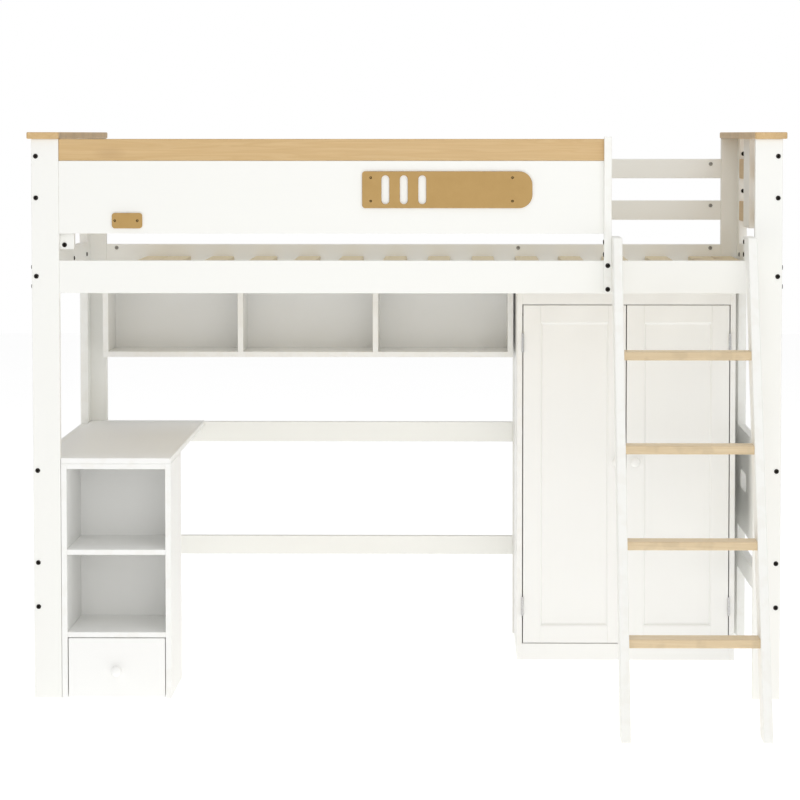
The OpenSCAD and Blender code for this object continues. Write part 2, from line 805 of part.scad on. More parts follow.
// Plaques on the front guard panel
module large_plaque() {
    corner_r = plaque_corner;
    slot_reach = plaque_h / 2 - plaque_slot_w;
    color(tan_wood) placed() difference() {
        translate([plaque_x0, 0, plaque_z0]) rotate([90, 0, 0]) linear_extrude(plaque_t) difference() {
            union() {
                translate([corner_r, 0]) square([plaque_l - corner_r - plaque_r, plaque_h]);
                translate([0, corner_r]) square([plaque_l / 2, plaque_h - 2 * corner_r]);
                translate([plaque_l / 2, plaque_r]) square([plaque_l / 2, plaque_h - 2 * plaque_r]);
                for (z = [corner_r, plaque_h - corner_r]) translate([corner_r, z]) circle(corner_r);
                for (z = [plaque_r, plaque_h - plaque_r]) translate([plaque_l - plaque_r, z]) circle(plaque_r);
            }
            for (i = [0 : 2])
                translate([plaque_slot_first + i * plaque_slot_pitch, plaque_h / 2]) union() {
                    square([plaque_slot_w, 2 * slot_reach], center = true);
                    for (side = [-1, 1]) translate([0, side * slot_reach]) circle(plaque_slot_w / 2);
                }
        }
        at_plaque_screws() screw_hole(plaque_screw_l);
    }
}

module small_plaque() {
    corner_r = plaque_corner;
    color(tan_wood) placed() difference() {
        translate([badge_x0, 0, badge_z0]) rotate([90, 0, 0]) linear_extrude(plaque_t) union() {
            translate([corner_r, 0]) square([badge_l - 2 * corner_r, badge_h]);
            translate([0, corner_r]) square([badge_l, badge_h - 2 * corner_r]);
            for (x = [corner_r, badge_l - corner_r], z = [corner_r, badge_h - corner_r])
                translate([x, z]) circle(corner_r);
        }
        at_plaque_screws() screw_hole(plaque_screw_l);
    }
}

// Lower rear frame
module mid_rear_leg() {
    color(white) placed()
        board([mid_leg_x0, rear_y, 0], [mid_leg_x0 + mid_leg_w, frame_d, rear_rail_z0]);
}

module rear_desk_rail() {
    color(white) placed() board(
        [-post_in, rear_y, desk_z - desk_rail_drop - desk_rail_h],
        [mid_leg_x0, frame_d, desk_z - desk_rail_drop]
    );
}

module rear_foot_rail() {
    color(white) placed()
        board([-post_in, rear_y, rear_foot_z], [mid_leg_x0, frame_d, rear_foot_z + rear_foot_h]);
}

// Desk: a top on the pedestal in front and on a cleat behind. Past the post's face board it reaches
// over to the end frame.
module desktop() {
    color(white) placed() union() {
        board([desk_x0, 0, desk_z0], [desk_x1, rear_y - board_gap, desk_z]);
        board(
            [-end_in + board_gap, face_t + board_gap, desk_z0],
            [desk_x0 + tiny, rear_y - board_gap, desk_z]
        );
    }
}

module desk_cleat() {
    color(white) placed() board(
        [desk_x0 + desk_cleat_in, rear_y - desk_cleat_w, desk_z0 - desk_cleat_w],
        [desk_x1 - desk_cleat_in, rear_y, desk_z0]
    );
}

// Pedestal: two sides, three boards between them and a thin back
module pedestal_sides() {
    color(white) placed() for (x = [desk_x0, bay_x1])
        board([x, 0, 0], [x + side_t, pedestal_d, desk_z0]);
}

module pedestal_shelves() {
    color(white) placed() for (z = [drawer_bay_h, mid_shelf_z, desk_z0 - shelf_t])
        board([bay_x0, 0, z], [bay_x1, pedestal_d - back_t, z + shelf_t]);
}

module pedestal_back() {
    color(white) placed() board([bay_x0, pedestal_d - back_t, 0], [bay_x1, pedestal_d, desk_z0]);
}

// Drawer: a front with a box behind it, which slides on two runners
module drawer_front() {
    color(white) placed() difference() {
        board(
            [bay_x0 + drawer_gap, 0, drawer_z0],
            [bay_x1 - drawer_gap, drawer_front_t, drawer_z0 + drawer_front_h]
        );
        drawer_knob_hole();
    }
}

module drawer_box() {
    z1 = drawer_box_z0 + drawer_box_h;
    color(white) placed() difference() {
        union() {
            for (x = [drawer_box_x0, drawer_box_x1 - drawer_side_t])
                board([x, drawer_front_t, drawer_box_z0], [x + drawer_side_t, drawer_back_y, z1]);
            board(
                [drawer_box_x0 + drawer_side_t, drawer_back_y - drawer_side_t, drawer_box_z0],
                [drawer_box_x1 - drawer_side_t, drawer_back_y, z1]
            );
        }
        drawer_floor(0);
    }
}

// The drawer's bottom sits in grooves in the sides and the back.
module drawer_floor(inset) {
    groove = drawer_side_t / 2 - inset;
    z0 = drawer_box_z0 + drawer_bottom_up;
    board(
        [drawer_box_x0 + drawer_side_t - groove, drawer_front_t, z0],
        [drawer_box_x1 - drawer_side_t + groove, drawer_back_y - drawer_side_t + groove, z0 + drawer_bottom_t]
    );
}

module drawer_bottom() {
    color(white) placed() drawer_floor(hole_gap);
}

module drawer_runners() {
    color(white) placed() for (x = [bay_x0, bay_x1 - runner_w]) board(
        [x, drawer_front_t + runner_front_gap, runner_z0],
        [x + runner_w, pedestal_d - back_t, runner_z0 + runner_h]
    );
}

// A round knob along -Y: a neck with a stud behind it, and a domed head
module knob() {
    neck_r = knob_d * 0.26;
    crown = knob_d * 0.1;
    rotate([90, 0, 0]) {
        translate([0, 0, -knob_stud_l]) cylinder(h = knob_stud_l + tiny, d = bolt_d);
        rotate_extrude() polygon([
            [0, 0], [neck_r, 0], [neck_r * 0.82, knob_l * 0.4], [knob_d * 0.42, knob_l * 0.56],
            [knob_d / 2, knob_l * 0.72], [knob_d * 0.47, knob_l * 0.88], [knob_d * 0.32, knob_l - crown / 4],
            [0, knob_l]
        ]);
    }
}

module knob_hole() {
    rotate([-90, 0, 0]) translate([0, 0, -cut])
        cylinder(h = knob_stud_l + cut + slide_gap, r = bolt_d / 2 + hole_gap);
}

module drawer_knob_hole() {
    translate([drawer_knob_x, 0, drawer_knob_z]) knob_hole();
}

module drawer_knob() {
    color(white) placed() translate([drawer_knob_x, 0, drawer_knob_z]) knob();
}

// Bookshelf: long boards over and under its uprights, and a thin back
module bookshelf_boards() {
    color(white) placed() for (z = [shelf_z0, shelf_z1 - shelf_board_t])
        board([shelf_x0, shelf_y0, z], [shelf_x1, shelf_y1 - back_t, z + shelf_board_t]);
}

module bookshelf_uprights() {
    color(white) placed() for (i = [0 : bays]) translate([i * (bay_w + shelf_board_t), 0, 0])
        board(
            [shelf_x0, shelf_y0, shelf_z0 + shelf_board_t],
            [shelf_x0 + shelf_board_t, shelf_y1 - back_t, shelf_z1 - shelf_board_t]
        );
}

module bookshelf_back() {
    color(white) placed() board([shelf_x0, shelf_y1 - back_t, shelf_z0], [shelf_x1, shelf_y1, shelf_z1]);
}

// Wardrobe: sides, boards and face rails between them, and a thin back
module wardrobe_sides() {
    color(white) placed() for (x = [robe_x0, robe_x1 - side_t])
        board([x, robe_y0, 0], [x + side_t, robe_y1 - back_t, robe_h]);
}

module wardrobe_boards() {
    color(white) placed() {
        board(
            [robe_x0 + side_t, robe_y0 + door_t + rest_gap, plinth_h - side_t],
            [robe_x1 - side_t, robe_y1 - back_t, plinth_h]
        );
        board(
            [robe_x0 + side_t, robe_y0, robe_h - side_t],
            [robe_x1 - side_t, robe_y1 - back_t, robe_h]
        );
    }
}

module wardrobe_face_rails() {
    color(white) placed() for (z = [[0, plinth_h], [robe_h - header_h, robe_h - side_t]])
        board([robe_x0 + side_t, robe_y0, z[0]], [robe_x1 - side_t, robe_y0 + door_t + rest_gap, z[1]]);
}

module wardrobe_back() {
    color(white) placed() board([robe_x0, robe_y1 - back_t, 0], [robe_x1, robe_y1, robe_h]);
}

// Hanging rod in two cups
module hanging_rod() {
    color(zinc) placed() translate([robe_x0 + side_t + rod_end_gap, rod_y, rod_z]) rotate([0, 90, 0])
        cylinder(h = robe_w - 2 * side_t - 2 * rod_end_gap, d = rod_d);
}

module rod_sockets() {
    color(zinc) placed() for (right = [false, true]) other_door(right)
        translate([robe_x0 + side_t, rod_y, rod_z]) rotate([0, 90, 0]) difference() {
            cylinder(h = cup_t, d = rod_d + 2 * cup_wall);
            translate([0, 0, rod_end_gap - slide_gap]) cylinder(h = cup_t, r = rod_d / 2 + hole_gap);
        }
}

// Doors: a frame of two stiles and two rails around a panel, drawn as the left door
module door_frame(right) {
    x0 = robe_x0 + side_t + door_gap;
    x1 = x0 + door_w;
    color(white) placed() other_door(right) difference() {
        union() {
            for (x = [x0, x1 - door_rail_w])
                board([x, robe_y0, door_z0], [x + door_rail_w, robe_y0 + door_t, door_z1]);
            for (z = [door_z0, door_z1 - door_rail_w]) board(
                [x0 + door_rail_w, robe_y0, z],
                [x1 - door_rail_w, robe_y0 + door_t, z + door_rail_w]
            );
        }
        door_panel_solid(0);
        translate([x1 - door_knob_in, robe_y0, door_knob_z]) knob_hole();
        leaf_recess(x0);
    }
}

module door_panel_solid(inset) {
    x0 = robe_x0 + side_t + door_gap;
    reach = door_rail_w - panel_tongue + inset;
    y0 = robe_y0 + (door_t - door_panel_t) / 2 + inset / 2;
    board(
        [x0 + reach, y0, door_z0 + reach],
        [x0 + door_w - reach, y0 + door_panel_t - inset, door_z1 - reach]
    );
}

module door_panel(right) {
    color(white) placed() other_door(right) door_panel_solid(hole_gap);
}

module door_knob(right) {
    color(white) placed() other_door(right)
        translate([robe_x0 + side_t + door_gap + door_w - door_knob_in, robe_y0, door_knob_z]) knob();
}

module left_door_frame() door_frame(false);
module left_door_panel() door_panel(false);
module left_door_knob() door_knob(false);
module right_door_frame() door_frame(true);
module right_door_panel() door_panel(true);
module right_door_knob() door_knob(true);

// Hinges: a leaf on the wardrobe's side with two knuckles and the pin, and a leaf on the door's
// edge with the middle knuckle
module leaf_recess(edge_x) {
    for (z = hinge_z) board(
        [edge_x - cut, robe_y0 - cut, z - hinge_l / 2 - knuckle_gap],
        [edge_x + tiny, robe_y0 + leaf_d, z + hinge_l / 2 + knuckle_gap]
    );
}

module knuckle(z0, l) {
    translate([hinge_x, hinge_y, z0]) cylinder(h = l, d = barrel_d);
}

module pin_bore(z, gap) {
    translate([hinge_x, hinge_y, z - hinge_l / 2 - cut])
        cylinder(h = hinge_l + 2 * cut, r = hinge_pin_d / 2 + gap);
}

module cabinet_leaf(z) {
    x0 = robe_x0 + side_t;
    union() {
        board([x0, hinge_y, z - hinge_l / 2], [x0 + leaf_t, robe_y0 + leaf_d, z - knuckle_l / 2]);
        board([x0, hinge_y, z + knuckle_l / 2], [x0 + leaf_t, robe_y0 + leaf_d, z + hinge_l / 2]);
        board([x0, robe_y0 + leaf_in, z - hinge_l / 2], [x0 + leaf_t, robe_y0 + leaf_d, z + hinge_l / 2]);
        knuckle(z - hinge_l / 2, knuckle_l);
        knuckle(z + knuckle_l / 2, knuckle_l);
        translate([hinge_x, hinge_y, z - hinge_l / 2]) cylinder(h = hinge_l, d = hinge_pin_d);
    }
}

module cabinet_hinge_leaves() {
    color(zinc) placed() for (right = [false, true], z = hinge_z) other_door(right) cabinet_leaf(z);
}

module door_leaf(z) {
    x1 = robe_x0 + side_t + door_gap;
    z0 = z - knuckle_l / 2 + knuckle_gap;
    l = knuckle_l - 2 * knuckle_gap;
    difference() {
        union() {
            board([x1 - leaf_t, hinge_y, z0], [x1, robe_y0 + leaf_d, z0 + l]);
            board(
                [x1 - leaf_t, robe_y0 + leaf_in, z - hinge_l / 2],
                [x1, robe_y0 + leaf_d, z + hinge_l / 2]
            );
            knuckle(z0, l);
        }
        pin_bore(z, pin_gap);
    }
}

module door_leaves(right) {
    color(zinc) placed() for (z = hinge_z) other_door(right) door_leaf(z);
}

module left_door_leaves() door_leaves(false);
module right_door_leaves() door_leaves(true);

// Ladder: two sloping stiles whose noses lie on the front bed rail, with treads between them
module stile_outline() {
    rear_y_at_rail = ladder_front_y(rail_z) + stile_d;
    polygon([
        [-ladder_foot, 0], [-ladder_foot + stile_d, 0], [rear_y_at_rail, rail_z],
        [nose_in, rail_z], [nose_in, ladder_top], [ladder_front_y(ladder_top), ladder_top]
    ]);
}

// The plane of a stile's outline is YZ, and its thickness runs along +X.
module in_yz(x) {
    translate([x, 0, 0]) rotate([90, 0, 90]) children();
}

module ladder_stiles() {
    color(white) placed() difference() {
        for (x = [ladder_x0, ladder_x1 - stile_t]) in_yz(x) linear_extrude(stile_t) stile_outline();
        treads(hole_gap);
        at_left_ladder_bolts() bolt_hole(ladder_left_bolt_l);
        at_right_ladder_bolts() bolt_hole(ladder_right_bolt_l);
    }
}

module treads(gap) {
    for (i = [0 : tread_count - 1]) {
        z1 = tread_first + i * tread_pitch;
        y = ladder_front_y(z1 - tread_t / 2) + stile_d / 2;
        board(
            [ladder_x0 + stile_t - housing - gap, y - tread_d / 2 - gap, z1 - tread_t - gap],
            [ladder_x1 - stile_t + housing + gap, y + tread_d / 2 + gap, z1 + gap]
        );
    }
}

module ladder_treads() {
    color(pine) placed() treads(0);
}

// Fasteners
module frame_bolts() {
    color(dark_metal) placed() {
        at_guard_bolts() bolt(guard_bolt_l);
        at_front_board_bolts() bolt(end_board_bolt_l);
        at_rear_board_bolts() bolt(end_board_bolt_l);
        at_cross_bolts() bolt(rail_bolt_l);
        at_end_rail_bolts() bolt(end_rail_bolt_l);
        at_guard_post_bolts() bolt(guard_post_bolt_l);
        at_batten_bolt() bolt(batten_bolt_l);
        at_left_ladder_bolts() bolt(ladder_left_bolt_l);
        at_right_ladder_bolts() bolt(ladder_right_bolt_l);
    }
}

// Each nut has a cross hole where its bolt passes through it.
module barrel_nuts() {
    color(zinc) placed() difference() {
        at_barrel_nuts() difference() {
            cylinder(h = nut_l, d = nut_d);
            translate([0, 0, -tiny]) cylinder(h = nut_socket, d = hex_d, $fn = 6);
        }
        at_cross_bolts() bolt_hole(rail_bolt_l);
    }
}

module plaque_screws() {
    color(dark_metal) placed() at_plaque_screws() screw(plaque_screw_l);
}

front_left_post();
front_right_post();
rear_left_post();
rear_right_post();
left_cap();
right_cap();
bed_end_rails();
end_guard_rails();
end_centre_boards();
left_end_panel();
right_end_panel();
end_foot_rails();
front_bed_rail();
rear_bed_rail();
slat_cleats();
bed_slats();
centre_beam();
guard_panel();
guard_top_strip();
guard_end_post();
guard_batten();
large_plaque();
small_plaque();
rear_guard_rails();
mid_rear_leg();
rear_desk_rail();
rear_foot_rail();
desktop();
desk_cleat();
pedestal_sides();
pedestal_shelves();
pedestal_back();
drawer_front();
drawer_box();
drawer_bottom();
drawer_knob();
drawer_runners();
bookshelf_boards();
bookshelf_uprights();
bookshelf_back();
wardrobe_sides();
wardrobe_boards();
wardrobe_face_rails();
wardrobe_back();
hanging_rod();
rod_sockets();
cabinet_hinge_leaves();
left_door_frame();
left_door_panel();
left_door_knob();
left_door_leaves();
right_door_frame();
right_door_panel();
right_door_knob();
right_door_leaves();
ladder_stiles();
ladder_treads();
frame_bolts();
barrel_nuts();
plaque_screws();
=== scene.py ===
"""Looks of the loft bed: eased painted boards, pine trim, drilled rails, bolts, knobs and shaker doors.

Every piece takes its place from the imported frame. Lengths are in metres, and the frame's front faces -Y.
"""

import json
import math

import bmesh
import bpy
from mathutils import Matrix, Vector

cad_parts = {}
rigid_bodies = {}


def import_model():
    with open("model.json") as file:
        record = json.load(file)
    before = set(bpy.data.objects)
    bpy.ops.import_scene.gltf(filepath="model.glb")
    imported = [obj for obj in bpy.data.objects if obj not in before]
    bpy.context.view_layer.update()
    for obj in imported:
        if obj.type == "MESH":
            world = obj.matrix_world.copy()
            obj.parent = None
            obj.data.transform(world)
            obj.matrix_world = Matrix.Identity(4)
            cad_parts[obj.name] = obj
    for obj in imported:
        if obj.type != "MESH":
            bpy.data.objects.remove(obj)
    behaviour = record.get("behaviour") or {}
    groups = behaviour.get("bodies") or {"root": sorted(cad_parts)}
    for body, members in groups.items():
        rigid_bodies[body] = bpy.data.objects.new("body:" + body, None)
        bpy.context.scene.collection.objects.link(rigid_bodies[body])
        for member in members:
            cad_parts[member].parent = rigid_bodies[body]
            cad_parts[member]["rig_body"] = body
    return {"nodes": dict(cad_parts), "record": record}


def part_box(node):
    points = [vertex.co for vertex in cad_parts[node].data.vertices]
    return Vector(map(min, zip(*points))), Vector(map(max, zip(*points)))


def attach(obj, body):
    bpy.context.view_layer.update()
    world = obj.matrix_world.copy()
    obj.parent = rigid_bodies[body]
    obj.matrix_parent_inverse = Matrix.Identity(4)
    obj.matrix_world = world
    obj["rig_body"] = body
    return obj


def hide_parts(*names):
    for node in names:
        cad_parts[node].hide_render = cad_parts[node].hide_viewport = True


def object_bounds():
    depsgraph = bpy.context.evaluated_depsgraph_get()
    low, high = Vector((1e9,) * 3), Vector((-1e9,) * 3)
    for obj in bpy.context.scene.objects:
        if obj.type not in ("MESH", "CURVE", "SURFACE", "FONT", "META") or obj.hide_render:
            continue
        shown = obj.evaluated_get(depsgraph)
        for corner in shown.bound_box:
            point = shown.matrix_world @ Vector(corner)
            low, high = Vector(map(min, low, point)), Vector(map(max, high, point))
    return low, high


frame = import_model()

cad_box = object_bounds()
X, Y, Z = 0, 1, 2
AXIS_NAMES = "xyz"

# How far the edges of each kind of piece are eased
BOARD_EDGE = 0.0016
THIN_EDGE = 0.0006
SHEET_EDGE = 0.0009
DOOR_EDGE = 0.0012
PANEL_EDGE = BOARD_EDGE * 1.5
DESKTOP_EDGE = 0.0022
DRAWER_EDGE = 0.0022
PLAQUE_EDGE = 0.0011
SLAT_EDGE = 0.0025
STILE_EDGE = 0.0025
TREAD_EDGE = 0.0035
TRIM_EDGE = 0.003
MOST_OF_EDGE = 0.45  # an eased edge takes at most this share of a board's thickness

# Sizes that the frame's boxes don't give
CAP_CORNER = 0.006
DESKTOP_CORNER = 0.002
SLOT_LENGTH, SLOT_HEIGHT = 0.18, 0.053
PLAQUE_CORNER, PLAQUE_END = 0.008, 0.036
PLAQUE_SLOTS = 3
PLAQUE_SLOT_W, PLAQUE_SLOT_FIRST, PLAQUE_SLOT_PITCH = 0.021, 0.062, 0.049
STILE_DEPTH, STILE_HEAD = 0.09, 0.1
STILE_CORNERS = [0.004, 0.004, 0.004, 0.003, 0.008, 0.008]
DRAWER_SIDE = 0.012
DOOR_RAIL = 0.05
BOLT_SHANK, BOLT_TIP, BOLT_HEX = 0.003, 0.001, 0.0026
NUT_HOLE_GAP = 0.0006
DRILL_ABOVE = 0.002
BOARD_GAP = 0.001

# Shares of a bolt's hexagon, head height and shank, of a nut's radius and depth,
# and of the pedestal's depth
BOLT_HEX_FLOOR, BOLT_SOCKET, BOLT_MOUTH, BOLT_TIP_END = 0.96, 0.72, 0.97, 0.7
NUT_EASE, NUT_HEX_FLOOR, NUT_HEX_MOUTH, NUT_SOCKET = 0.14, 0.46, 0.5, 0.3
COVER_PLACES = (0.14, 0.86)

# Turned profiles, as shares of the radius and of the height
BOLT_DOME = [(0.46, 1.0), (0.66, 0.95), (0.84, 0.8), (0.95, 0.56), (1.0, 0.24), (0.99, 0.0)]
KNOB_PROFILE = [
    (0.0, 1.0), (0.2, 0.995), (0.52, 0.965), (0.76, 0.915), (0.92, 0.84), (0.995, 0.755), (0.985, 0.67),
    (0.88, 0.6), (0.68, 0.535), (0.52, 0.45), (0.46, 0.34), (0.44, 0.2), (0.47, 0.08), (0.52, 0.0),
]
# A screw cover's profile in metres, which starts above the face and ends in it
COVER_PROFILE = [(0, 0.0007), (0.0045, 0.0006), (0.0058, 0.0), (0.0058, -0.001), (0, -0.001)]

# How finely curves are cut
EDGE_STEPS, CORNER_STEPS, PLAQUE_STEPS, SLOT_STEPS = 3, 4, 10, 12
SCREW_STEPS, BOLT_STEPS, KNOB_STEPS = 20, 24, 40

# Tolerances
SAME_PLACE, SAME_FACE, INSIDE = 1e-6, 5e-5, 1e-4
SORT_DIGITS = 5
NEARLY_STRAIGHT = math.radians(89)
SHARPEST_MITRE = 0.3
WIDER_THAN_SHANK = BOLT_SHANK * 1.2


# ---------------------------------------------------------------- meshes

def islands(node):
    """The separate solids of a CAD node, each as a list of points."""
    bm = bmesh.new()
    bm.from_mesh(frame["nodes"][node].data)
    bmesh.ops.remove_doubles(bm, verts=bm.verts, dist=SAME_PLACE)
    left, found = set(bm.verts), []
    while left:
        stack, points = [left.pop()], []
        while stack:
            v = stack.pop()
            points.append(v.co.copy())
            for e in v.link_edges:
                other = e.other_vert(v)
                if other in left:
                    left.discard(other)
                    stack.append(other)
        found.append(points)
    bm.free()
    return sorted(found, key=lambda ps: tuple(round(c, SORT_DIGITS) for c in low(ps)))


def low(points):
    return Vector([min(p[i] for p in points) for i in range(3)])


def high(points):
    return Vector([max(p[i] for p in points) for i in range(3)])


def solid_boxes(node):
    """The corners of each solid of a CAD node."""
    return [(low(points), high(points)) for points in islands(node)]


def rect(a, b):
    return [(a[0], a[1]), (b[0], a[1]), (b[0], b[1]), (a[0], b[1])]


def rounded(points, radii, steps=CORNER_STEPS):
    """A polygon with an arc at each corner. radii is one radius, or one for each corner."""
    n = len(points)
    radii = radii if isinstance(radii, (list, tuple)) else [radii] * n
    out = []
    for i, r in enumerate(radii):
        p, a, b = Vector(points[i]), Vector(points[i - 1]), Vector(points[(i + 1) % n])
        u, v = (a - p).normalized(), (b - p).normalized()
        half = math.acos(max(-1, min(1, u.dot(v)))) / 2
        if r <= 0 or half > NEARLY_STRAIGHT:
            out.append(p)
            continue
        centre = p + (u + v).normalized() * (r / math.sin(half))
        reach = r / math.tan(half)
        start, end = p + u * reach - centre, p + v * reach - centre
        turn = start.angle_signed(end)
        for k in range(steps + 1):
            out.append(centre + Matrix.Rotation(-turn * k / steps, 2) @ start)
    return [(p[0], p[1]) for p in out]


def inset(loop, d):
    """The loop moved inwards by d, or into the material round a hole, which runs clockwise."""
    out, n = [], len(loop)
    for i in range(n):
        p, a, b = Vector(loop[i]), Vector(loop[i - 1]), Vector(loop[(i + 1) % n])
        u, v = (p - a).normalized(), (b - p).normalized()
        nu, nv = Vector((-u.y, u.x)), Vector((-v.y, v.x))
        m = (nu + nv).normalized()
        out.append(tuple(p + m * (d / max(SHARPEST_MITRE, m.dot(nu)))))
    return out


def to_3d(axis, u, v, w):
    """A point of the plane across an axis, at w along it. Each plane is right-handed about its axis."""
    return [(w, u, v), (v, w, u), (u, v, w)][axis]


def slab(bm, loops, axis, lo, hi, r, material=0):
    """Adds a plate to bm whose edges are rounded by r. loops are its outline, anticlockwise, and its holes,
    clockwise. The layer "edge" marks the rounded edges for the materials."""
    edge = bm.verts.layers.float["edge"]
    levels = []
    for k in range(EDGE_STEPS + 1):
        a = math.pi / 2 * k / EDGE_STEPS
        levels.append((r * (1 - math.sin(a)), r * (1 - math.cos(a))))
    stations = [(d, lo + e) for d, e in levels] + [(d, hi - e) for d, e in reversed(levels)]
    caps = ([], [])
    for loop in loops:
        rings = []
        for d, w in stations:
            ring = [bm.verts.new(to_3d(axis, u, v, w)) for u, v in inset(loop, d)]
            for vert in ring:
                vert[edge] = 0.0 if d == stations[0][0] else 1.0
            rings.append(ring)
        n = len(loop)
        for i, (a, b) in enumerate(zip(rings, rings[1:])):
            for j in range(n):
                f = bm.faces.new((a[j], a[(j + 1) % n], b[(j + 1) % n], b[j]))
                f.smooth = i != len(levels) - 1
                f.material_index = material
        for cap, ring in zip(caps, (rings[0], rings[-1])):
            cap.append(ring)
    for cap, flip in zip(caps, (True, False)):
        if len(cap) == 1:
            f = bm.faces.new(reversed(cap[0]) if flip else cap[0])
            f.material_index = material
            continue
        edges = [bm.edges.get((ring[i - 1], ring[i])) for ring in cap for i in range(len(ring))]
        filled = bmesh.ops.triangle_fill(bm, edges=edges, use_beauty=True)
        for f in filled["geom"]:
            if isinstance(f, bmesh.types.BMFace):
                f.material_index = material


def new_bm():
    """An empty mesh with the layer that marks the eased edges."""
    bm = bmesh.new()
    bm.verts.layers.float.new("edge")
    return bm


def board(bm, lo, hi, r, material):
    """A plain board between two corners, with all its edges eased."""
    size = hi - lo
    axis = min(range(3), key=lambda i: size[i])
    u, v = (axis + 1) % 3, (axis + 2) % 3
    r = min(r, size[axis] * MOST_OF_EDGE)
    outline = rounded(rect((lo[u], lo[v]), (hi[u], hi[v])), r, EDGE_STEPS)
    slab(bm, [outline], axis, lo[axis], hi[axis], r, material)


def new_object(bm, name):
    """An object in the scene that holds bm, which is freed."""
    mesh = bpy.data.meshes.new(name)
    bm.to_mesh(mesh)
    bm.free()
    obj = bpy.data.objects.new(name, mesh)
    bpy.context.scene.collection.objects.link(obj)
    return obj


def finish_mesh(bm, name, materials):
    bmesh.ops.remove_doubles(bm, verts=bm.verts, dist=SAME_PLACE)
    bmesh.ops.dissolve_degenerate(bm, edges=bm.edges, dist=SAME_PLACE)
    bmesh.ops.recalc_face_normals(bm, faces=bm.faces)
    obj = new_object(bm, name)
    for m in materials:
        obj.data.materials.append(m)
    return obj


def stand_for(obj, node):
    """The piece takes a CAD node's place and body."""
    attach(obj, frame["nodes"][node]["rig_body"])
    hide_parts(node)
    return obj


def grain_axis(lo, hi):
    size = hi - lo
    return max(range(3), key=lambda i: size[i])


def boards_for(node, finish, r=BOARD_EDGE, boxes=None):
    """Eased boards in place of a node's solids, with the grain along each board."""
    bm = new_bm()
    for lo, hi in boxes or solid_boxes(node):
        board(bm, lo, hi, r, grain_axis(lo, hi))
    return stand_for(finish_mesh(bm, node + "_look", finish), node)


def ring_at(bm, place, radius, height, steps):
    """A ring of points about the place's +Z, or a single point where the radius is nothing."""
    if radius < SAME_PLACE:
        return [bm.verts.new(place @ Vector((0, 0, height)))]
    angles = [2 * math.pi * k / steps for k in range(steps)]
    points = [Vector((radius * math.cos(a), radius * math.sin(a), height)) for a in angles]
    return [bm.verts.new(place @ point) for point in points]


def hex_ring(bm, place, radius, height, steps):
    """A ring of steps points on a hexagon, whose corners stand at that radius."""
    ring = []
    for k in range(steps):
        a = 2 * math.pi * k / steps
        part = (a % (math.pi / 3)) - math.pi / 6
        r = radius * math.cos(math.pi / 6) / math.cos(part)
        ring.append(bm.verts.new(place @ Vector((r * math.cos(a), r * math.sin(a), height))))
    return ring


def join_rings(bm, rings, steps, material=0):
    for a, b in zip(rings, rings[1:]):
        for j in range(steps):
            corners = [a[j % len(a)], a[(j + 1) % len(a)], b[(j + 1) % len(b)], b[j % len(b)]]
            corners = [v for i, v in enumerate(corners) if v not in corners[:i]]
            f = bm.faces.new(corners)
            f.smooth = True
            f.material_index = material


def lathe(bm, profile, place, steps):
    """A turned solid: profile is (radius, height) from one end of the axis to the other."""
    join_rings(bm, [ring_at(bm, place, radius, height, steps) for radius, height in profile], steps)


def looking(origin, direction):
    """The place of a piece whose +Z runs along a direction."""
    return Matrix.Translation(origin) @ Vector(direction).to_track_quat("Z", "Y").to_matrix().to_4x4()


# ---------------------------------------------------------------- materials

NO, FULL = (0, 0, 0, 1), (1, 1, 1, 1)
COAT_ROUGHNESS = 0.3
BOARD_SHIFT = (7.3, 3.1, 5.7)  # moves the pattern on each board by up to this much


def linear(rgb):
    """A linear colour with alpha from 8-bit sRGB."""
    return [((c / 255 + 0.055) / 1.055) ** 2.4 if c > 10 else c / 255 / 12.92 for c in rgb] + [1]


def grey(value):
    return (value, value, value, 1)


def times(rgb, factor):
    return [c * factor for c in rgb]


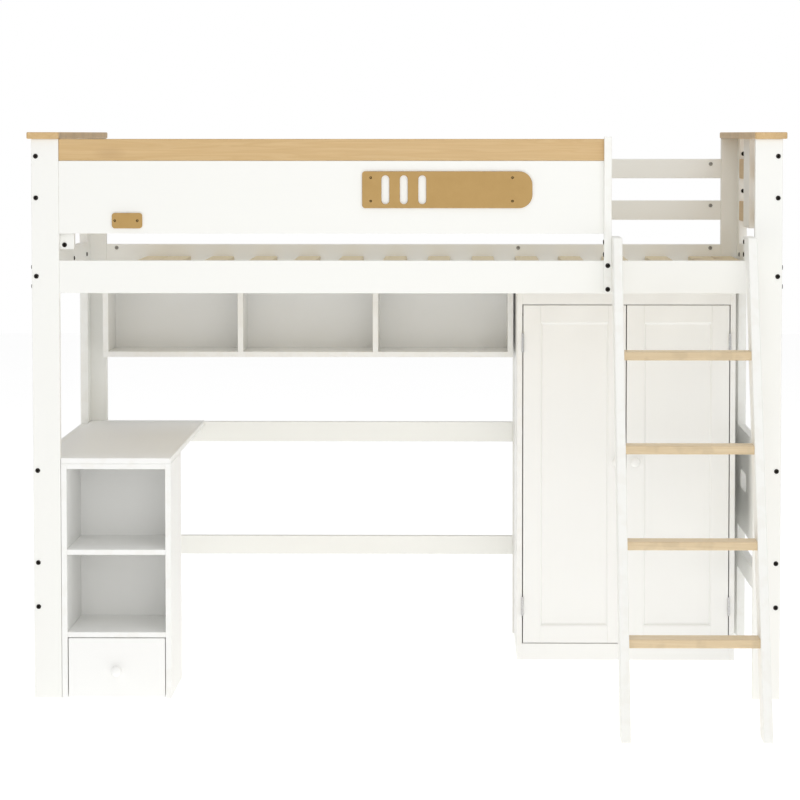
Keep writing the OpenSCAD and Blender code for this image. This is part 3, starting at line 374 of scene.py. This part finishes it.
class Nodes:
    """A short way to write a material's nodes."""

    def __init__(self, name, roughness, metallic=0.0, coat=0.0):
        self.material = bpy.data.materials.new(name)
        self.material.use_nodes = True
        self.tree = self.material.node_tree
        self.shader = self.tree.nodes["Principled BSDF"]
        self.shader.inputs["Roughness"].default_value = roughness
        self.shader.inputs["Metallic"].default_value = metallic
        self.shader.inputs["Coat Weight"].default_value = coat
        self.shader.inputs["Coat Roughness"].default_value = COAT_ROUGHNESS

    def put(self, node, key, value):
        """Links a socket to a node's input, or sets the input to a plain value."""
        if isinstance(value, bpy.types.NodeSocket):
            self.tree.links.new(value, node.inputs[key])
        else:
            node.inputs[key].default_value = value

    def add(self, kind, values=None, **settings):
        node = self.tree.nodes.new(kind)
        for key, value in settings.items():
            setattr(node, key, value)
        for key, value in (values or {}).items():
            self.put(node, key, value)
        return node

    def math(self, kind, a, b):
        return self.add("ShaderNodeMath", {0: a, 1: b}, operation=kind).outputs[0]

    def vector_math(self, kind, a, b):
        return self.add("ShaderNodeVectorMath", {0: a, 1: b}, operation=kind).outputs[0]

    def place(self, stretch, shuffled):
        """Object coordinates, stretched, and moved by a different amount on each separate board."""
        coords = self.add("ShaderNodeTexCoord").outputs["Object"]
        if shuffled:
            chance = self.add("ShaderNodeNewGeometry").outputs["Random Per Island"]
            coords = self.vector_math("ADD", coords, self.vector_math("MULTIPLY", chance, BOARD_SHIFT))
        mapping = self.add("ShaderNodeMapping", {"Vector": coords})
        mapping.inputs["Scale"].default_value = stretch
        return mapping.outputs[0]

    def noise(self, vector, scale, detail, rough=0.5, distortion=0.0):
        values = {
            "Vector": vector, "Scale": scale, "Detail": detail, "Roughness": rough, "Distortion": distortion,
        }
        return self.add("ShaderNodeTexNoise", values).outputs["Fac"]

    def ramp(self, fac, stops):
        node = self.add("ShaderNodeValToRGB", {"Fac": fac})
        ramp = node.color_ramp
        while len(ramp.elements) < len(stops):
            ramp.elements.new(0.5)
        for element, (at, colour) in zip(ramp.elements, stops):
            element.position = at
            element.color = colour
        return node.outputs["Color"]

    def mix(self, fac, a, b):
        """The mix of two colours. The node has sockets that share a name, so they go by number."""
        node = self.add("ShaderNodeMix", data_type="RGBA", blend_type="MIX")
        for key, value in ((0, fac), (6, a), (7, b)):
            self.put(node, key, value)
        return node.outputs[2]

    def spread(self, fac, low_value, high_value):
        values = {"Value": fac, "To Min": low_value, "To Max": high_value}
        return self.add("ShaderNodeMapRange", values).outputs["Result"]

    def worn_edges(self, vector, scale, amount):
        """A patchy mask that is only above 0 along the eased edges."""
        edge = self.add("ShaderNodeAttribute", attribute_name="edge").outputs["Fac"]
        patches = self.ramp(self.noise(vector, scale, detail=2), [(0.48, NO), (0.62, FULL)])
        return self.math("MULTIPLY", self.math("MULTIPLY", edge, patches), amount)

    def done(self, colour, roughness=None, height=None, strength=None, distance=None):
        """Links the finished colour, roughness and bump, and gives the material."""
        links = self.tree.links
        links.new(colour, self.shader.inputs["Base Color"])
        if roughness is not None:
            links.new(roughness, self.shader.inputs["Roughness"])
        if height is not None:
            values = {"Height": height, "Strength": strength, "Distance": distance}
            links.new(self.add("ShaderNodeBump", values).outputs[0], self.shader.inputs["Normal"])
        return self.material


def along(axis, along_scale):
    """A stretch that draws a pattern out along one axis."""
    return tuple(along_scale if i == axis else 1 for i in range(3))


PLAIN = (1, 1, 1)
BARE_WOOD = (232, 227, 214)
KNOT = (140, 92, 48)


def painted(name, axis, tone):
    """Satin white paint on wood: a faint grain, roller texture, and thinner paint on the edges."""
    n = Nodes(name, roughness=0.42, coat=0.06)
    fibres = n.place(along(axis, 0.07), True)
    plain = n.place(PLAIN, False)
    grain = n.noise(fibres, scale=90, detail=5, rough=0.6, distortion=0.4)
    cloud = n.noise(plain, scale=3.2, detail=2)
    red, green, blue, _ = linear(tone)
    shade = times((red, green, blue), 0.972) + [1]
    colour = n.mix(n.spread(grain, 0.0, 0.55), linear(tone), shade)
    warm = [red, green * 0.996, blue * 0.982, 1]
    colour = n.mix(n.spread(cloud, 0.0, 0.6), colour, warm)
    colour = n.mix(n.worn_edges(plain, scale=26, amount=0.16), colour, linear(BARE_WOOD))
    roller = n.noise(plain, scale=1400, detail=2)
    height = n.mix(0.35, roller, grain)
    return n.done(colour, n.spread(cloud, 0.36, 0.5), height, strength=0.16, distance=0.0002)


def pine(name, axis, light, dark):
    """Lacquered pine: growth bands along the board, fine fibres, darker pores and a few knots."""
    n = Nodes(name, roughness=0.4, coat=0.12)
    bands_at = n.place(along(axis, 0.035), True)
    fibres_at = n.place(along(axis, 0.02), True)
    knots_at = n.place(along(axis, 0.42), True)
    plain = n.place(PLAIN, False)
    bands = n.noise(bands_at, scale=46, detail=3, rough=0.55, distortion=1.1)
    late = n.ramp(bands, [(0.36, NO), (0.5, FULL), (0.56, grey(0.25)), (0.7, grey(0.9))])
    fibres = n.noise(fibres_at, scale=520, detail=4, rough=0.65)
    colour = n.mix(n.math("MULTIPLY", late, 0.62), linear(light), linear(dark))
    streak = n.mix(n.spread(fibres, 0.0, 0.5), colour, linear(times(dark, 0.86)))
    warm = linear([light[0], light[1] * 0.95, light[2] * 0.86])
    tint = n.mix(n.spread(n.noise(plain, scale=1.7, detail=1), 0.0, 0.3), streak, warm)
    cells = n.add("ShaderNodeTexVoronoi", {"Vector": knots_at, "Scale": 5.2, "Randomness": 1.0})
    core = n.ramp(cells.outputs["Distance"], [(0.035, FULL), (0.1, grey(0.3)), (0.16, NO)])
    tint = n.mix(n.math("MULTIPLY", core, 0.8), tint, linear(KNOT))
    tint = n.mix(n.worn_edges(plain, scale=22, amount=0.25), tint, linear(times(dark, 0.82)))
    height = n.mix(0.5, fibres, late)
    return n.done(tint, n.spread(fibres, 0.33, 0.5), height, strength=0.25, distance=0.0002)


def stained(name, light, dark, speck, edge):
    """Stained board: close mottling, fine specks and a soft sheen."""
    n = Nodes(name, roughness=0.46, coat=0.08)
    plain = n.place(PLAIN, False)
    fibres = n.place(along(X, 0.25), False)
    mottle = n.noise(plain, scale=26, detail=4, rough=0.6)
    specks = n.noise(fibres, scale=900, detail=3, rough=0.7)
    colour = n.mix(n.spread(mottle, 0.1, 0.75), linear(light), linear(dark))
    colour = n.mix(n.spread(specks, 0.0, 0.4), colour, linear(speck))
    colour = n.mix(n.worn_edges(plain, scale=60, amount=0.6), colour, linear(edge))
    return n.done(colour, n.spread(mottle, 0.4, 0.54), specks, strength=0.2, distance=0.0002)


def metal(name, tone, roughness):
    """Plated or blackened steel with fine scratches and a slightly uneven sheen."""
    n = Nodes(name, roughness, metallic=1.0)
    plain = n.place(PLAIN, False)
    brushed = n.place(along(Z, 0.06), False)
    cloud = n.noise(plain, scale=210, detail=3)
    lines = n.noise(brushed, scale=2600, detail=2)
    colour = n.mix(n.spread(cloud, 0.0, 0.5), linear(tone), linear(times(tone, 0.78)))
    uneven = n.spread(cloud, roughness - 0.08, roughness + 0.1)
    return n.done(colour, uneven, lines, strength=0.06, distance=0.0001)


def family(make, name, *tones):
    """The same finish with its grain along X, Y and Z, in that order."""
    return [make(f"{name}_{AXIS_NAMES[axis]}", axis, *tones) for axis in range(3)]


WHITE = family(painted, "white_paint", (248, 248, 244))
BOARD_WHITE = family(painted, "board_paint", (249, 249, 247))
TRIM = family(pine, "pine_trim", (223, 192, 142), (205, 169, 113))
SLATS = family(pine, "pine_slat", (230, 216, 180), (210, 192, 150))
TREADS = family(pine, "pine_tread", (232, 213, 180), (214, 190, 150))
TAN = stained("tan_stain", (199, 162, 96), (178, 141, 75), speck=(158, 120, 62), edge=(122, 84, 44))
DARK = metal("black_steel", (52, 49, 46), 0.4)
ZINC = metal("zinc_plate", (176, 174, 168), 0.38)
BRIGHT = metal("bright_plate", (206, 206, 206), 0.24)
HOLLOW = metal("hex_shadow", (24, 23, 22), 0.7)


# ---------------------------------------------------------------- bed frame

rail_lo, rail_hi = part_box("front_bed_rail")
end_boards = solid_boxes("bed_end_rails")
FACE_T = rail_hi.y - rail_lo.y
END_T = end_boards[0][1].x - end_boards[0][0].x


def split_post(node):
    """A corner post as its face board and its side board."""
    lo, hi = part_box(node)
    front, left = lo.y < 0, lo.x < 0
    face_lo, face_hi, side_lo, side_hi = lo.copy(), hi.copy(), lo.copy(), hi.copy()
    if front:
        face_hi.y = side_lo.y = lo.y + FACE_T
    else:
        face_lo.y = side_hi.y = hi.y - FACE_T
    if left:
        side_hi.x = lo.x + END_T
    else:
        side_lo.x = hi.x - END_T
    return [(face_lo, face_hi), (side_lo, side_hi)]


def posts():
    for side in ("left", "right"):
        for end in ("front", "rear"):
            node = f"{end}_{side}_post"
            boards_for(node, WHITE, BOARD_EDGE, split_post(node))


def caps():
    for node in ("left_cap", "right_cap"):
        lo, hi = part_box(node)
        bm = new_bm()
        slab(bm, [rounded(rect(lo.xy, hi.xy), CAP_CORNER)], Z, lo.z, hi.z, TRIM_EDGE, Y)
        stand_for(finish_mesh(bm, node + "_look", TRIM), node)


def stadium(centre, length, height):
    """A slot's outline, clockwise, with its round ends along the first axis."""
    r, reach = height / 2, (length - height) / 2
    out = []
    for side, start in ((1, math.pi / 2), (-1, -math.pi / 2)):
        for k in range(SLOT_STEPS + 1):
            a = start - math.pi * k / SLOT_STEPS
            out.append((centre[0] + side * reach + r * math.cos(a), centre[1] + r * math.sin(a)))
    return out


def end_panels():
    """The lower end panels with their two hand slots, whose middles are those of the stated openings."""
    openings = frame["record"]["physics"]["openings"]
    for side in ("left", "right"):
        node = side + "_end_panel"
        lo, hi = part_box(node)
        boxes = [o["box_m"] for o in openings if o["name"].startswith(side + "_panel_slot")]
        middles = [((a[1] + b[1]) / 2, (a[2] + b[2]) / 2) for a, b in boxes]
        holes = [stadium(middle, SLOT_LENGTH, SLOT_HEIGHT) for middle in middles]
        bm = new_bm()
        outline = rounded(rect(lo.yz, hi.yz), BOARD_EDGE, EDGE_STEPS)
        slab(bm, [outline, *holes], X, lo.x, hi.x, PANEL_EDGE, Y)
        stand_for(finish_mesh(bm, node + "_look", WHITE), node)


def drill(obj, holes):
    """Cuts blind holes: each is (mouth, direction into the wood, radius, depth)."""
    bm = bmesh.new()
    for mouth, into, radius, depth in holes:
        profile = [(0, -DRILL_ABOVE), (radius, -DRILL_ABOVE), (radius, depth), (0, depth)]
        lathe(bm, profile, looking(mouth, into), BOLT_STEPS)
    bmesh.ops.recalc_face_normals(bm, faces=bm.faces)
    cutter = new_object(bm, "drill")
    cut = obj.modifiers.new("drill", "BOOLEAN")
    cut.object, cut.operation, cut.solver = cutter, "DIFFERENCE", "EXACT"
    bpy.context.view_layer.update()
    drilled = bpy.data.meshes.new_from_object(obj.evaluated_get(bpy.context.evaluated_depsgraph_get()))
    obj.modifiers.clear()
    obj.data = drilled
    bpy.data.objects.remove(cutter)


NUTS = solid_boxes("barrel_nuts")
bed_middle = (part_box("front_left_post")[0].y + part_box("rear_left_post")[1].y) / 2


def nut_place(lo, hi):
    """A barrel nut's mouth, the way into the wood (to the front in the front rail), its radius and depth."""
    centre = (lo + hi) / 2
    in_front = centre.y < bed_middle
    mouth = Vector((centre.x, hi.y if in_front else lo.y, centre.z))
    return mouth, Vector((0, -1 if in_front else 1, 0)), (hi.x - lo.x) / 2, hi.y - lo.y


def drilled_rails():
    for node in ("front_bed_rail", "rear_bed_rail", "rear_guard_rails"):
        obj = boards_for(node, WHITE)
        boxes = solid_boxes(node)
        holes = []
        for lo, hi in NUTS:
            mouth, into, radius, depth = nut_place(lo, hi)
            if any(all(a[i] - INSIDE < mouth[i] < b[i] + INSIDE for i in range(3)) for a, b in boxes):
                holes.append((mouth, into, radius + NUT_HOLE_GAP, depth))
        drill(obj, holes)


def nuts():
    """Barrel nuts with a chamfered face and a hexagon socket."""
    bm = new_bm()
    for lo, hi in NUTS:
        mouth, into, radius, depth = nut_place(lo, hi)
        place = looking(mouth, into)
        ease = radius * NUT_EASE
        rings = [
            ring_at(bm, place, 0, depth * NUT_SOCKET, BOLT_STEPS),
            hex_ring(bm, place, radius * NUT_HEX_FLOOR, depth * NUT_SOCKET, BOLT_STEPS),
            hex_ring(bm, place, radius * NUT_HEX_MOUTH, 0, BOLT_STEPS),
        ]
        for r, z in ((radius - ease, 0), (radius, ease), (radius, depth), (0, depth)):
            rings.append(ring_at(bm, place, r, z, BOLT_STEPS))
        join_rings(bm, rings, BOLT_STEPS)
    stand_for(finish_mesh(bm, "barrel_nuts_look", [ZINC]), "barrel_nuts")


def bolt_places():
    """Each bolt's seat, the way its shank runs, its head's radius and height, and its shank's length."""
    out = []
    for points in islands("frame_bolts"):
        lo, hi = low(points), high(points)
        axis = grain_axis(lo, hi)
        across = [i for i in range(3) if i != axis]
        centre = (lo + hi) / 2
        wide = [p for p in points if max(abs(p[i] - centre[i]) for i in across) > WIDER_THAN_SHANK]
        head_lo, head_hi = min(p[axis] for p in wide), max(p[axis] for p in wide)
        at_low = abs(head_lo - lo[axis]) < SAME_FACE
        seat = centre.copy()
        seat[axis] = head_hi if at_low else head_lo
        run = Vector((0, 0, 0))
        run[axis] = 1 if at_low else -1
        radius = max(hi[i] - lo[i] for i in across) / 2
        out.append((seat, run, radius, head_hi - head_lo, (hi - lo)[axis] - (head_hi - head_lo)))
    return out


def bolts():
    """Button head bolts with a hexagon socket, dark inside."""
    bm = new_bm()
    for seat, run, radius, height, length in bolt_places():
        place = looking(seat, run)

        def ring(r, z):
            return ring_at(bm, place, r, z, BOLT_STEPS)

        floor_z, mouth_z = height * BOLT_SOCKET - height, -height * BOLT_MOUTH
        socket = [
            ring(0, floor_z),
            hex_ring(bm, place, BOLT_HEX * BOLT_HEX_FLOOR, floor_z, BOLT_STEPS),
            hex_ring(bm, place, BOLT_HEX, mouth_z, BOLT_STEPS),
        ]
        dome = [ring(radius * share, -height * rise) for share, rise in BOLT_DOME]
        shank = [
            ring(BOLT_SHANK, 0), ring(BOLT_SHANK, length - BOLT_TIP), ring(BOLT_SHANK * BOLT_TIP_END, length),
        ]
        join_rings(bm, socket, BOLT_STEPS, 1)
        join_rings(bm, [socket[-1], *dome, *shank, ring(0, length)], BOLT_STEPS)
    stand_for(finish_mesh(bm, "frame_bolts_look", [DARK, HOLLOW]), "frame_bolts")


# ---------------------------------------------------------------- guard and plaques

def y_plate(bm, loops, lo_y, hi_y, r):
    """A plate in the XZ plane. slab() wants the plane across Y as (z, x), so the loops are turned over."""
    turned = [[(z, x) for x, z in reversed(loop)] for loop in loops]
    slab(bm, turned, Y, lo_y, hi_y, r)


def plaque(node, end_r, slots):
    """A stained plate with small corners on its left, corners of end_r on its right, and some slots."""
    lo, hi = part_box(node)
    corners = [PLAQUE_CORNER, end_r, end_r, PLAQUE_CORNER]
    outline = rounded(rect((lo.x, lo.z), (hi.x, hi.z)), corners, PLAQUE_STEPS)
    upright = stadium((0, 0), hi.z - lo.z - PLAQUE_SLOT_W, PLAQUE_SLOT_W)
    middle = (lo.z + hi.z) / 2
    holes = []
    for i in range(slots):
        x = lo.x + PLAQUE_SLOT_FIRST + i * PLAQUE_SLOT_PITCH
        holes.append([(x - v, middle + u) for u, v in upright])
    bm = new_bm()
    y_plate(bm, [outline, *holes], lo.y, hi.y, PLAQUE_EDGE)
    stand_for(finish_mesh(bm, node + "_look", [TAN]), node)


def plaque_screws():
    """Pan head screws with a round recess."""
    bm = new_bm()
    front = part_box("large_plaque")[0].y
    for lo, hi in solid_boxes("plaque_screws"):
        place = looking(Vector(((lo.x + hi.x) / 2, front, (lo.z + hi.z) / 2)), (0, 1, 0))
        radius, length = (hi.x - lo.x) / 2, hi.y - lo.y
        profile = [
            (0, 0.0006), (radius * 0.2, 0.0004), (radius * 0.34, 0), (radius * 0.85, 0), (radius, 0.0006),
            (radius * 0.5, radius * 0.5), (radius * 0.42, length - 0.002), (0, length),
        ]
        lathe(bm, profile, place, SCREW_STEPS)
    stand_for(finish_mesh(bm, "plaque_screws_look", [DARK]), "plaque_screws")


# ---------------------------------------------------------------- ladder

def ladder():
    """Two sloping stiles whose noses reach over the bed rail, and the treads between them."""
    lo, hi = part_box("ladder_stiles")
    rail_z = rail_hi.z
    foot, head = lo.y, rail_lo.y - STILE_HEAD
    slope = (head - foot) / hi.z
    outline = [
        (foot, 0), (foot + STILE_DEPTH, 0), (foot + slope * rail_z + STILE_DEPTH, rail_z),
        (hi.y, rail_z), (hi.y, hi.z), (head, hi.z),
    ]
    soft = rounded(outline, STILE_CORNERS)
    bm = new_bm()
    for stile_lo, stile_hi in solid_boxes("ladder_stiles"):
        slab(bm, [soft], X, stile_lo.x, stile_hi.x, STILE_EDGE, Z)
    stand_for(finish_mesh(bm, "ladder_stiles_look", WHITE), "ladder_stiles")
    boards_for("ladder_treads", TREADS, TREAD_EDGE)


# ---------------------------------------------------------------- furniture

def desktop():
    """The desk's top in plan: past the front post's face board it reaches over to the end frame."""
    lo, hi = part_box("desktop")
    front_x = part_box("pedestal_sides")[0].x
    step_y = lo.y + FACE_T + BOARD_GAP
    outline = [
        (front_x, lo.y), (hi.x, lo.y), (hi.x, hi.y), (lo.x, hi.y), (lo.x, step_y), (front_x, step_y),
    ]
    bm = new_bm()
    slab(bm, [rounded(outline, [DESKTOP_CORNER] * 5 + [0])], Z, lo.z, hi.z, DESKTOP_EDGE, Y)
    stand_for(finish_mesh(bm, "desktop_look", BOARD_WHITE), "desktop")


def drawer():
    lo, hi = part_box("drawer_box")
    left_hi, right_lo, back_lo, back_hi = hi.copy(), lo.copy(), lo.copy(), hi.copy()
    left_hi.x = back_lo.x = lo.x + DRAWER_SIDE
    right_lo.x = back_hi.x = hi.x - DRAWER_SIDE
    back_lo.y = hi.y - DRAWER_SIDE
    boards_for("drawer_box", BOARD_WHITE, THIN_EDGE, [(lo, left_hi), (right_lo, hi), (back_lo, back_hi)])
    boards_for("drawer_front", BOARD_WHITE, DRAWER_EDGE)
    boards_for("drawer_bottom", BOARD_WHITE, THIN_EDGE)


def door_frames():
    """Two stiles with two rails between them, and a sloping bead round the panel."""
    for side in ("left", "right"):
        node = side + "_door_frame"
        lo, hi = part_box(node)
        boxes = []
        for x in (lo.x, hi.x - DOOR_RAIL):
            boxes.append((Vector((x, lo.y, lo.z)), Vector((x + DOOR_RAIL, hi.y, hi.z))))
        for z in (lo.z, hi.z - DOOR_RAIL):
            right_end = Vector((hi.x - DOOR_RAIL, hi.y, z + DOOR_RAIL))
            boxes.append((Vector((lo.x + DOOR_RAIL, lo.y, z)), right_end))
        boards_for(node, BOARD_WHITE, DOOR_EDGE, boxes)
        bead(side, lo, hi)
        boards_for(side + "_door_panel", BOARD_WHITE, THIN_EDGE)


def bead(side, lo, hi):
    """A thin moulding in the corner between the frame and the panel, on the front."""
    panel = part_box(side + "_door_panel")[0].y
    width, root = 0.0048, panel + 0.001
    inner = rect((lo.x + DOOR_RAIL, lo.z + DOOR_RAIL), (hi.x - DOOR_RAIL, hi.z - DOOR_RAIL))
    section = [
        (0, root), (0, lo.y + 0.0012), (width * 0.35, lo.y + 0.0016),
        (width * 0.75, panel - 0.0022), (width, panel - 0.0004), (width, root),
    ]
    bm = new_bm()
    made = [[bm.verts.new((u, y, w)) for u, w in inset(inner, d)] for d, y in section]
    for a, b in zip(made, made[1:] + made[:1]):
        for j in range(4):
            bm.faces.new((a[j], a[(j + 1) % 4], b[(j + 1) % 4], b[j]))
    obj = finish_mesh(bm, side + "_door_bead", [BOARD_WHITE[Z]])
    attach(obj, side + "_door")


def knobs():
    """Turned knobs: a domed head on a waisted neck, with the stud behind."""
    for node in ("drawer_knob", "left_door_knob", "right_door_knob"):
        lo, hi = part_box(node)
        radius = (hi.x - lo.x) / 2
        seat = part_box("drawer_front" if node == "drawer_knob" else node[:-4] + "frame")[0].y
        place = looking(Vector(((lo.x + hi.x) / 2, seat, (lo.z + hi.z) / 2)), (0, -1, 0))
        reach = seat - lo.y
        profile = [(r * radius, h * reach) for r, h in KNOB_PROFILE]
        profile += [(BOLT_SHANK, 0.0), (BOLT_SHANK, seat - hi.y), (0, seat - hi.y)]
        bm = new_bm()
        lathe(bm, profile, place, KNOB_STEPS)
        stand_for(finish_mesh(bm, node + "_look", [BOARD_WHITE[Y]]), node)


def screw_covers():
    """Small round covers over the screws in the pedestal's right side."""
    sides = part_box("pedestal_sides")
    bm = new_bm()
    for lo, hi in solid_boxes("pedestal_shelves"):
        for share in COVER_PLACES:
            deep = sides[0].y + (sides[1].y - sides[0].y) * share
            spot = Vector((sides[1].x, deep, (lo.z + hi.z) / 2))
            lathe(bm, COVER_PROFILE, looking(spot, (1, 0, 0)), SCREW_STEPS)
    obj = finish_mesh(bm, "pedestal_screw_covers", [BOARD_WHITE[Z]])
    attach(obj, "frame")


def finish_cad(node, material):
    """A CAD node that stays, with a better finish."""
    mesh = frame["nodes"][node].data
    mesh.materials.clear()
    mesh.materials.append(material)


posts()
caps()
end_panels()
drilled_rails()
nuts()
bolts()
plaque("large_plaque", PLAQUE_END, PLAQUE_SLOTS)
plaque("small_plaque", PLAQUE_CORNER, 0)
plaque_screws()
ladder()
desktop()
drawer()
door_frames()
knobs()
screw_covers()
for plain in ("bed_end_rails", "end_centre_boards", "end_foot_rails", "slat_cleats", "centre_beam",
              "guard_panel", "guard_end_post", "guard_batten", "mid_rear_leg", "rear_desk_rail",
              "rear_foot_rail"):
    boards_for(plain, WHITE)
for trim in ("end_guard_rails", "guard_top_strip"):
    boards_for(trim, TRIM, TRIM_EDGE)
boards_for("bed_slats", SLATS, SLAT_EDGE)
for sheet in ("desk_cleat", "pedestal_sides", "pedestal_shelves", "bookshelf_boards", "bookshelf_uprights",
              "wardrobe_sides", "wardrobe_boards", "wardrobe_face_rails", "drawer_runners"):
    boards_for(sheet, BOARD_WHITE, SHEET_EDGE)
for thin in ("pedestal_back", "bookshelf_back", "wardrobe_back"):
    boards_for(thin, BOARD_WHITE, THIN_EDGE)
for fitting in ("hanging_rod", "rod_sockets", "cabinet_hinge_leaves", "left_door_leaves",
                "right_door_leaves"):
    finish_cad(fitting, BRIGHT)


# ---------------------------------------------------------------- stage, light and camera

FLOOR_REACH, FLOOR_GAP, FLOOR_GLOW = 14.0, 0.0005, 0.5
FILL, BACKDROP = 0.5, 1.0  # the world's strength as light, and as seen by the camera
# Each lamp's place, the point that it faces, its width and its power in watts
LAMPS = {
    "key": ((2.6, -4.8, 5.2), (0, 0, 0.8), 2.6, 40),
    "front": ((0.6, -8.4, 3.0), (0, 0, 0.7), 5.0, 96),
    "top": ((0, -0.6, 6.4), (0, 0, 0.7), 4.5, 70),
}
LENS, SENSOR = 130.2, 36.0
EYE_DISTANCE, EYE_ASIDE, EYE_HEIGHT = 7.7, 0.151, 1.515
# Where the photograph's point straight ahead stands from the picture's middle, as a share of its width,
# and the part of that which is lens shift. The rest is turn and tilt.
AHEAD_ACROSS, AHEAD_UP = 0.079, 0.3325
SHIFT_ACROSS, SHIFT_UP = 0.04, 0.14
CLIP_END = 60


def floor():
    bm = bmesh.new()
    bmesh.ops.create_grid(bm, x_segments=1, y_segments=1, size=FLOOR_REACH)
    obj = new_object(bm, "floor")
    obj.location.z = cad_box[0].z - FLOOR_GAP
    pale = Nodes("pale_floor", roughness=0.9)
    clouds = pale.noise(pale.place(PLAIN, False), scale=1.3, detail=2)
    colour = pale.mix(clouds, grey(0.93), grey(0.95))
    pale.shader.inputs["Emission Color"].default_value = FULL
    pale.shader.inputs["Emission Strength"].default_value = FLOOR_GLOW
    obj.data.materials.append(pale.done(colour))


def light(name, place, target, size, power):
    lamp = bpy.data.lights.new(name, "AREA")
    lamp.shape, lamp.size, lamp.energy = "DISK", size, power
    obj = bpy.data.objects.new(name, lamp)
    obj.location = place
    obj.rotation_euler = (Vector(target) - Vector(place)).to_track_quat("-Z", "Y").to_euler()
    bpy.context.scene.collection.objects.link(obj)


def studio():
    """Soft lamps in a white room, which looks brighter to the camera than it lights."""
    world = bpy.data.worlds.new("studio")
    world.use_nodes = True
    tree = world.node_tree
    background = tree.nodes["Background"]
    background.inputs["Color"].default_value = FULL
    seen = tree.nodes.new("ShaderNodeLightPath").outputs["Is Camera Ray"]
    strength = tree.nodes.new("ShaderNodeMapRange")
    strength.inputs["To Min"].default_value = FILL
    strength.inputs["To Max"].default_value = BACKDROP
    tree.links.new(seen, strength.inputs["Value"])
    tree.links.new(strength.outputs["Result"], background.inputs["Strength"])
    bpy.context.scene.world = world
    for name, (place, target, size, power) in LAMPS.items():
        light(name, place, target, size, power)


def camera():
    """Eye level with the caps, a little right of the middle. Of the photograph's drop below the horizon
    a part is tilt and the rest is shift, so that other views keep the object in their frame."""
    data = bpy.data.cameras.new("camera")
    obj = bpy.data.objects.new("camera", data)
    bpy.context.scene.collection.objects.link(obj)
    data.lens, data.sensor_width = LENS, SENSOR
    obj.location = (EYE_ASIDE, rail_lo.y - EYE_DISTANCE, EYE_HEIGHT)
    data.shift_x, data.shift_y = -SHIFT_ACROSS, -SHIFT_UP
    tilt = math.atan((AHEAD_UP - SHIFT_UP) * data.sensor_width / data.lens)
    turn = math.atan((AHEAD_ACROSS - SHIFT_ACROSS) * data.sensor_width / data.lens)
    obj.rotation_euler = (math.pi / 2 - tilt, 0, turn)
    data.clip_end = CLIP_END
    bpy.context.scene.camera = obj


floor()
studio()
camera()
bpy.context.scene.view_settings.view_transform = "Standard"
